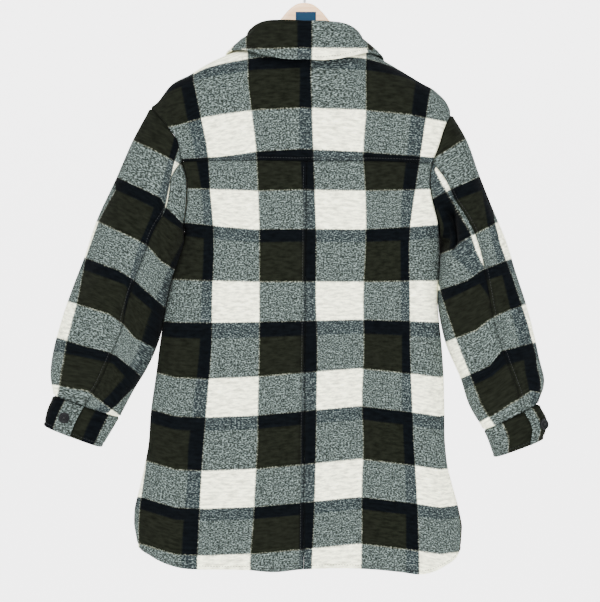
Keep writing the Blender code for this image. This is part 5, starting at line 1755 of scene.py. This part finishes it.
@dataclass
class Hanger:
    """The wooden hanger with a blank label on its neck, and its wire hook."""

    end: float = 188 * MM
    stops: tuple[float, ...] = (0, 12, 24, 36, 50, 66, 84, 108, 134, 160, 178, 188)
    half_thick: float = 6 * MM
    clearance: float = 7 * MM
    tilt: float = 0.028
    stations: int = 170
    sides: int = 48
    end_round: float = 5 * MM
    squareness: float = 0.5
    hook_radius: float = 20 * MM
    wire: float = 2 * MM
    hook_turn: tuple[float, float] = (-50, 205)
    hook_bend: float = 7 * MM
    foot_gap: float = 0.4 * MM
    label: tuple[float, float, float, float] = (-13.5 * MM, 17 * MM, -108 * MM, -86 * MM)
    label_lift: float = 0.25 * MM

    def profile(self, x: Array) -> tuple[Array, Array, Array]:
        """Top, height and half thickness of the wood at places across.

        Inside the neck the top follows the crown; under the cloth it lies its
        clearance below the shoulder line, measured square to it.
        """
        crown = smooth(np.abs(x), HANGER_CROWN["x"], HANGER_CROWN["z"])
        slope = (ridge_z(x + MM) - ridge_z(x - MM)) / (2 * MM)
        under_cloth = ridge_z(x) - self.clearance * np.sqrt(1 + slope**2)
        inside_neck = np.abs(x) <= HANGER_CROWN["x"][-1]
        top = np.where(inside_neck, crown - self.tilt * x * 0.5, under_cloth)
        height = smooth(np.abs(x), HANGER_HEIGHT["x"], HANGER_HEIGHT["height"])
        return top, height, self.half_thick * (1 - 0.25 * ease((np.abs(x) / self.end - 0.5) * 2))

    def wood(self, room: Workroom, finish: Finish) -> Piece:
        """The arms, lofted from rounded upright sections that close in at both ends.

        Smooth curves through the profile at the stops, which are millimetres
        from the middle, give the sections between them.
        """
        stops = np.array(self.stops) * MM
        marks = np.concatenate([-stops[:0:-1], stops])
        x = np.linspace(-self.end, self.end, self.stations)
        tops, heights, thicks = self.profile(marks)
        top, height, thick = (smooth(x, marks, values) for values in (tops, heights, thicks))
        closing = np.clip((self.end - np.abs(x)) / self.end_round, 0, 1)
        narrow = 0.45 + 0.55 * np.sqrt(1 - (1 - closing) ** 2)
        angles = np.linspace(0, 2 * np.pi, self.sides, endpoint=False)
        wide, tall = (signed_power(turn(angles), self.squareness) for turn in (np.cos, np.sin))
        rings = np.empty((len(x), self.sides, 3))
        rings[..., 0] = x[:, None]
        rings[..., 1] = (thick * narrow)[:, None] * wide
        rings[..., 2] = (top - height / 2)[:, None] + (height / 2 * narrow)[:, None] * tall
        made = room.place("hanger_wood_arms", loft("hanger_wood_arms", rings), finish)
        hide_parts("hanger_wood")
        return made

    def blank_label(self, room: Workroom, finish: Finish) -> Piece:
        """A thin blank patch on the neck's back face."""
        left, right, low, high = self.label
        x, z = np.meshgrid(np.linspace(left, right, 9), np.linspace(low, high, 7))
        face = np.stack([x, np.full_like(x, -self.half_thick - self.label_lift), z], axis=-1)
        panel = Panel("hanger_label", face, np.broadcast_to(np.array([0, -1.0, 0]), face.shape))
        outside = np.arange(x.size).reshape(x.shape)
        inside = outside + x.size
        sides = band_faces(rim(outside), rim(inside))
        faces = np.concatenate([grid_faces(outside), grid_faces(inside)[:, ::-1], sides])
        vertices = np.concatenate([face, face + np.array([0, 2 * self.label_lift, 0])]).reshape(-1, 3)
        made = room.place(panel.name, mesh_of(panel.name, vertices, faces), finish)
        return made

    def hook(self, room: Workroom, finish: Finish) -> Piece:
        """The wire: up its stem, out to the ring and over the top, with round ends."""
        radius = self.hook_radius + self.wire
        first, last = np.radians(self.hook_turn)
        turn = np.linspace(first, last, 72)
        ring = np.stack([radius * np.cos(turn), radius * np.sin(turn) - self.hook_radius], axis=-1)
        meet = ring[0, 1] - ring[0, 0] * np.cos(first) / -np.sin(first)
        low, bend = np.array([0, meet - self.hook_bend]), np.array([0, meet])
        t = np.linspace(0, 1, 17)[:-1, None]
        curve = (1 - t) ** 2 * low + 2 * t * (1 - t) * bend + t**2 * ring[0]
        foot = np.array([0, HANGER_CROWN["z"][0] + self.foot_gap])
        stem = foot + (low - foot) * np.linspace(0, 1, 9)[:-1, None]
        line = np.concatenate([stem, curve, ring])
        along = unit(np.gradient(line, axis=0))
        side = np.stack([along[:, 1], -along[:, 0]], axis=-1)
        sides = 20
        angles = 2 * np.pi * np.arange(sides) / sides
        width = np.full(len(line), self.wire)
        width[0] *= 0.8
        width[-1] *= 0.6
        rings = np.empty((len(line), sides, 3))
        flat = line[:, None] + side[:, None] * (width[:, None] * np.cos(angles))[..., None]
        rings[..., 0], rings[..., 2] = flat[..., 0], flat[..., 1]
        rings[..., 1] = -width[:, None] * np.sin(angles)
        made = room.place("hanger_hook_wire", loft("hanger_hook_wire", rings), finish)
        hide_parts("hanger_hook")
        return made


@dataclass
class Button:
    """A round button with a raised rim, a shallow dish and four holes that thread crosses."""

    radius: float = 8 * MM
    depth: float = 3.2 * MM
    hole: float = 0.9 * MM
    spacing: float = 3.4 * MM
    sides: int = 48
    thread: float = 0.55 * MM

    def disc(self, name: str) -> Mesh:
        """The button, turned from its profile, its holes bored through."""
        half, r = self.depth / 2, self.radius
        profile = np.array([
            (0.4, 0.30), (0.62, 0.32), (0.70, 0.42), (0.78, 0.78), (0.84, 0.96), (0.90, 1.0), (0.96, 0.85),
            (1.0, 0.4), (1.0, -0.4), (0.96, -0.82), (0.9, -0.95), (0.6, -1.0), (0.4, -1.0),
        ])
        turn = 2 * np.pi * np.arange(self.sides) / self.sides
        ring = np.stack([np.cos(turn), np.sin(turn)], axis=-1)
        rings = np.empty((len(profile), self.sides, 3))
        rings[..., :2] = (profile[:, :1] * r)[:, None] * ring
        rings[..., 2] = (profile[:, 1] * half)[:, None]
        mesh = loft(name, rings, 40)
        work = bmesh.new()
        work.from_mesh(mesh)
        bmesh.ops.recalc_face_normals(work, faces=work.faces)
        work.to_mesh(mesh)
        work.free()
        blank = added(name, mesh)
        drills = []
        for across in (-1, 1):
            for up in (-1, 1):
                drill = added("drill", self.drill((across * self.spacing / 2, up * self.spacing / 2)))
                cut = blank.modifiers.new("hole", "BOOLEAN")
                cut.operation, cut.object, cut.solver = "DIFFERENCE", drill, "EXACT"
                drills.append(drill)
        bpy.context.view_layer.update()
        done = bpy.data.meshes.new_from_object(blank.evaluated_get(bpy.context.evaluated_depsgraph_get()))
        for used in [blank, *drills]:
            bpy.data.objects.remove(used)
        return done

    def drill(self, at: tuple[float, float]) -> Mesh:
        """A round bar that bores one hole."""
        turn = 2 * np.pi * np.arange(16) / 16
        ring = np.stack([at[0] + self.hole * np.cos(turn), at[1] + self.hole * np.sin(turn)], axis=-1)
        rings = np.empty((2, 16, 3))
        rings[..., :2] = ring
        rings[..., 2] = np.array([-1, 1])[:, None] * 2 * self.depth
        return loft("drill", rings)

    def crossing(self) -> tuple[Array, Array]:
        """Two crossed loops of thread over the holes: points of their tubes, and the quads."""
        t = np.linspace(-1, 1, 15)
        vertices, faces = [], []
        turn = 2 * np.pi * np.arange(6) / 6
        for number, tilt in enumerate((1, -1)):
            reach = self.spacing / 2
            line = np.stack([reach * t, tilt * reach * t, 0 * t], axis=-1)
            line[:, 2] = self.depth * (0.15 + 0.28 * (1 - t**4) - 0.45 * t**16)
            line[:, 2] += number * self.thread * bell(t, 0.3)
            along = unit(np.gradient(line, axis=0))
            side = unit(np.cross(along, np.array([0, 0, 1.0])))
            up = np.cross(side, along)
            round_it = side[:, None] * np.cos(turn)[:, None] + up[:, None] * np.sin(turn)[:, None]
            vertices.append((line[:, None] + self.thread * round_it).reshape(-1, 3))
            index = np.arange(len(t) * 6).reshape(len(t), 6) + number * len(t) * 6
            faces.append(tube_faces(index))
        return np.concatenate(vertices), np.concatenate(faces)

    def sew_on(
        self, node: str, panel: Panel, room: Workroom, resin: Finish, thread: Finish,
    ) -> list[Piece]:
        """Put a button and its thread where the solid button lies, square to the cloth under it."""
        low, high = (np.array(corner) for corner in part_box(node))
        centre = (low + high) / 2
        nearest = np.argmin(np.linalg.norm(panel.points - centre, axis=-1))
        facing = Vector(panel.normals.reshape(-1, 3)[nearest])
        turned = facing.to_track_quat("Z", "Y").to_matrix()
        spin = np.array(turned)
        disc = self.disc(f"{node}_disc")
        places = np.empty(len(disc.vertices) * 3)
        disc.vertices.foreach_get("co", places)
        disc.vertices.foreach_set("co", (places.reshape(-1, 3) @ spin.T + centre).ravel())
        disc.update()
        made = room.place(f"{node}_disc", disc, resin)
        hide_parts(node)
        vertices, faces = self.crossing()
        mesh = mesh_of(f"{node}_thread", vertices @ spin.T + centre, faces, 180)
        sewn = room.place(f"{node}_thread", mesh, thread)
        return [made, sewn]


@dataclass
class Studio:
    """Bright even light, a far pale wall that turns into the floor, and the camera."""

    floor: float = -1.9
    wall: float = 6.0
    front: float = -7.0
    half_width: float = 9.0
    height: float = 7.0
    turn: float = 2.5
    lights: tuple[tuple[str, tuple[float, float, float], float, float], ...] = (
        ("key", (-1.6, -3.4, 2.6), 2.4, 350),
        ("fill", (2.4, -3.6, 0.4), 3.0, 130),
        ("back", (0.6, 3.0, 2.6), 2.5, 90),
    )

    def backdrop(self) -> Piece:
        """The floor and the wall behind it in one curved sheet."""
        angles = np.linspace(0, np.pi / 2, 25)
        y = np.concatenate([[self.front], self.wall - self.turn + self.turn * np.sin(angles), [self.wall]])
        z = np.concatenate([[0], self.turn * (1 - np.cos(angles)), [self.height]]) + self.floor
        x = np.linspace(-self.half_width, self.half_width, 3)
        grid = np.stack(np.broadcast_arrays(x, y[:, None], z[:, None]), axis=-1)
        index = np.arange(len(y) * len(x)).reshape(len(y), len(x))
        mesh = mesh_of("backdrop", grid.reshape(-1, 3), grid_faces(index))
        graph = Graph("backdrop_paint")
        graph.set(Base_Color=linear(238, 237, 237), Roughness=0.9, Specular_IOR_Level=0.2)
        graph.set(Emission_Color=linear(255, 254, 254), Emission_Strength=2.2)
        mesh.materials.append(graph.material)
        return added("backdrop", mesh)

    def light(self, name: str, place: tuple[float, float, float], size: float, power: float) -> None:
        """A square light that faces the garment's middle."""
        lamp = bpy.data.lights.new(name, "AREA")
        lamp.shape, lamp.size, lamp.energy = "SQUARE", size, power
        made = added(name, lamp)
        made.location = place
        aim = Vector((0, 0, -0.5)) - made.location
        made.rotation_euler = aim.to_track_quat("-Z", "Y").to_euler()

    def build(self) -> None:
        """Set up the wall, the lights, the sky and the camera."""
        self.backdrop()
        for name, place, size, power in self.lights:
            self.light(name, place, size, power)
        world = bpy.data.worlds.new("room")
        world.use_nodes = True
        sky = world.node_tree.nodes["Background"]
        sky.inputs["Color"].default_value = linear(238, 238, 240)
        sky.inputs["Strength"].default_value = 2.0
        bpy.context.scene.world = world
        camera = bpy.data.cameras.new("camera")
        camera.sensor_fit, camera.sensor_width, camera.sensor_height = "VERTICAL", SENSOR, SENSOR
        camera.lens = SENSOR * -EYE[1] / FRAME_HEIGHT
        made = added("camera", camera)
        made.location = EYE
        made.rotation_euler = (np.pi / 2, 0, 0)
        bpy.context.scene.camera = made


@dataclass(frozen=True)
class Cut:
    """A piece as it was cut: its flat size, the finish of its edges and what holds it up."""

    flat: tuple[float, float]
    edges: Edges
    held_by: tuple[str, ...] = ("back_yoke_cloth",)


SEWN, STITCHED, BOUND, FREE = Edge.SEWN, Edge.STITCHED, Edge.BOUND, Edge.FREE
UPPER_EDGES = Edges(SEWN, SEWN, SEWN, STITCHED)
UNDER_EDGES = Edges(SEWN, SEWN, SEWN, SEWN)
CUTS = {
    "back_left": Cut((0.28, 0.61), Edges(BOUND, SEWN, SEWN, STITCHED)),
    "back_right": Cut((0.28, 0.61), Edges(BOUND, SEWN, SEWN, SEWN)),
    "back_yoke": Cut((0.48, 0.30), Edges(STITCHED, SEWN, SEWN, SEWN), ("hanger_wood_arms",)),
    "front_left": Cut((0.29, 0.75), Edges(BOUND, SEWN, SEWN, SEWN)),
    "front_right": Cut((0.27, 0.75), Edges(BOUND, SEWN, SEWN, SEWN)),
    "front_placket": Cut((0.034, 0.68), Edges(BOUND, SEWN, BOUND, BOUND), ("front_left_cloth",)),
    "sleeve_upper_left": Cut((0.262, 0.461), UPPER_EDGES),
    "sleeve_upper_right": Cut((0.231, 0.463), UPPER_EDGES),
    "sleeve_under_left": Cut((0.197, 0.401), UNDER_EDGES),
    "sleeve_under_right": Cut((0.206, 0.407), UNDER_EDGES),
    "cuff_left": Cut((0.304, 0.053), Edges(SEWN, BOUND, FREE, BOUND), ("sleeve_upper_left_cloth",)),
    "cuff_right": Cut((0.27, 0.059), Edges(SEWN, BOUND, FREE, BOUND), ("sleeve_upper_right_cloth",)),
    "collar": Cut((0.61, 0.10), Edges(SEWN, BOUND, BOUND, BOUND), ("collar_stand_cloth",)),
    "collar_stand": Cut((0.52, 0.054), Edges(SEWN, SEWN, SEWN, SEWN)),
}
FRONT_BUTTONS = 6


def flat_area(points: Array) -> float:
    """Area of a grid of points."""
    cross = np.cross(points[1:, 1:] - points[:-1, :-1], points[1:, :-1] - points[:-1, 1:])
    return float(np.linalg.norm(cross, axis=-1).sum() / 2)


@dataclass
class ShirtJacket:
    """All cloth pieces of the garment, its stitches and its buttons."""

    body: Body = field(default_factory=Body)
    collar: Collar = field(default_factory=Collar)
    room: Workroom = field(default_factory=Workroom)
    front_calm: float = 24 * MM
    panels: dict[str, Panel] = field(default_factory=dict)
    areas: dict[str, float] = field(default_factory=dict)

    def cut(self) -> None:
        """Lay out every piece and join its directions to its neighbours'."""
        body = self.body
        yoke = body.yoke()
        back_left, back_right = body.backs()
        front_left, front_right = body.fronts()
        every = slice(None)
        share(back_left, (every, -1), back_right, (every, 0))
        share(back_left, (-1, every), yoke, (0, slice(0, HALF_CELLS + 1)))
        share(back_right, (-1, every), yoke, (0, slice(HALF_CELLS, None)))
        share(front_left, (every, -1), front_right, (every, 0))
        for front, shoulder in (
            (front_left, slice(0, SHOULDER_CELLS + 1)), (front_right, slice(-SHOULDER_CELLS - 1, None)),
        ):
            share(front, (-1, shoulder), yoke, (-1, shoulder))
        skirt = slice(0, VENT_CELLS + SKIRT_CELLS + 1)
        share(back_left, (skirt, 0), front_left, (skirt, 0))
        share(back_right, (skirt, -1), front_right, (skirt, -1))
        # The vent's top cell folds round to the side seam, so its direction is
        # taken from the cells below and above it
        for panel, edge in ((back_left, 0), (front_left, 0), (back_right, -1), (front_right, -1)):
            turn = panel.normals[:, edge]
            turn[VENT_CELLS - 1] = unit(turn[VENT_CELLS - 2] + turn[VENT_CELLS])
        left = Sleeve(
            LEFT, LEFT_SLEEVE, LEFT_SLEEVE_FOLDS, LEFT_SLEEVE_CREASES, LEFT_SLEEVE_FRONT_CREASES,
            LEFT_SLEEVE_ROWS, LEFT_UPPER_COLUMNS, LEFT_UNDER_COLUMNS,
        )
        right = Sleeve(
            RIGHT, RIGHT_SLEEVE, RIGHT_SLEEVE_FOLDS, RIGHT_SLEEVE_CREASES, RIGHT_SLEEVE_FRONT_CREASES,
            RIGHT_SLEEVE_ROWS, RIGHT_UPPER_COLUMNS, RIGHT_UNDER_COLUMNS,
        )
        sleeves = left.panels(yoke, back_left, front_left) + right.panels(yoke, back_right, front_right)
        placket = body.placket(front_left)
        neck = neck_loop(yoke, front_left, front_right)
        collar = self.collar.fall(self.collar.places_round(neck))
        stand = self.collar.stand(neck, collar)
        cuffs = [
            Cuff("cuff_left", LEFT_CUFF, 0.49, 132, 385).panel(),
            Cuff("cuff_right", RIGHT_CUFF, 0.30, 143, -88).panel(),
        ]
        for back in (back_left, back_right):
            back.grain = body.back_grain(back)
        for front in (front_left, front_right, placket):
            front.grain = body.front_grain(front)
        plain = [yoke, back_left, back_right, front_left, front_right, placket, collar, stand]
        plain += cuffs + sleeves
        self.panels = {panel.name: panel for panel in plain}
        self.areas = {panel.name: flat_area(panel.points) for panel in plain}
        self.crease(left, right)

    def crease(self, left: Sleeve, right: Sleeve) -> None:
        """Move each piece's face by its creases and by the relief beside its edges."""
        for name, panel in self.panels.items():
            x, y, z = np.moveaxis(panel.points, -1, 0)
            soft = sway(x, z)
            fade = self.body.crease_fade
            if name.startswith("sleeve"):
                sleeve = left if name.endswith("left") else right
                soft, fade = sleeve.creases(panel), sleeve.crease_fade
            elif name.startswith("back_yoke"):
                soft = soft + crease_lift(x, z, YOKE_CREASES) * ease(0.5 - y / CREASE_TURN)
            elif name.startswith("back"):
                soft = soft + crease_lift(x, z, BACK_CREASES)
            elif name.startswith("front"):
                calm = ease((np.abs(x) - self.front_calm) / self.front_calm)
                soft = (soft + crease_lift(x, z, FRONT_CREASES)) * calm
            elif name == "collar_stand":
                soft = soft * 0
            panel.relieve(CUTS[name].edges, soft, fade)

    def sew(self) -> None:
        """Build the walls, the stitches and the buttons, and say how each piece was cut."""
        cloth = PlaidCloth().build()
        thread = Plain("sewing_thread", (9, 10, 12), 0.9).build()
        resin = Plain("button_resin_dark", (9, 10, 12), 0.45, gloss=0.1, unevenness=0.35).build()
        on_piece: dict[str, list[Piece]] = {name: [] for name in self.panels}
        button = Button()
        holders = {f"button_front_{number + 1}": "front_placket" for number in range(FRONT_BUTTONS)}
        holders |= {"button_cuff_left": "cuff_left", "button_cuff_right": "cuff_right"}
        for node, name in holders.items():
            on_piece[name] += button.sew_on(node, self.panels[name], self.room, resin, thread)
            log.info("%s sewn on %s", node, name)
        for name, panel in self.panels.items():
            cut = CUTS[name]
            stitched = self.room.stitches(panel, cut.edges, thread)
            if stitched:
                on_piece[name].append(stitched)
            made = self.room.wall(panel, cut.edges, cloth)
            log.info("%s: area %.4f of %.4f m2, %d faces", name, self.areas[name], cut.flat[0] * cut.flat[1],
                     len(made.data.polygons))


def main() -> None:
    """Build the jacket, its hanger and the studio, and report each piece."""
    logging.basicConfig(level=logging.INFO, format="%(name)s %(message)s")
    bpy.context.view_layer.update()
    room = Workroom()
    jacket = ShirtJacket(room=room)
    jacket.cut()
    hanger = Hanger()
    arms = hanger.wood(room, PaleWood().build())
    label = hanger.blank_label(room, Plain("label_blue", (20, 48, 70), 0.7, gloss=0.1).build())
    steel = Plain("hook_steel_plain", (196, 196, 198), 0.28, metallic=1.0, unevenness=0.04).build()
    hook = hanger.hook(room, steel)
    jacket.sew()
    for made in (arms, label, hook):
        log.info("%s: %d faces", made.name, len(made.data.polygons))
    Studio().build()


if __name__ == "__main__":
    main()
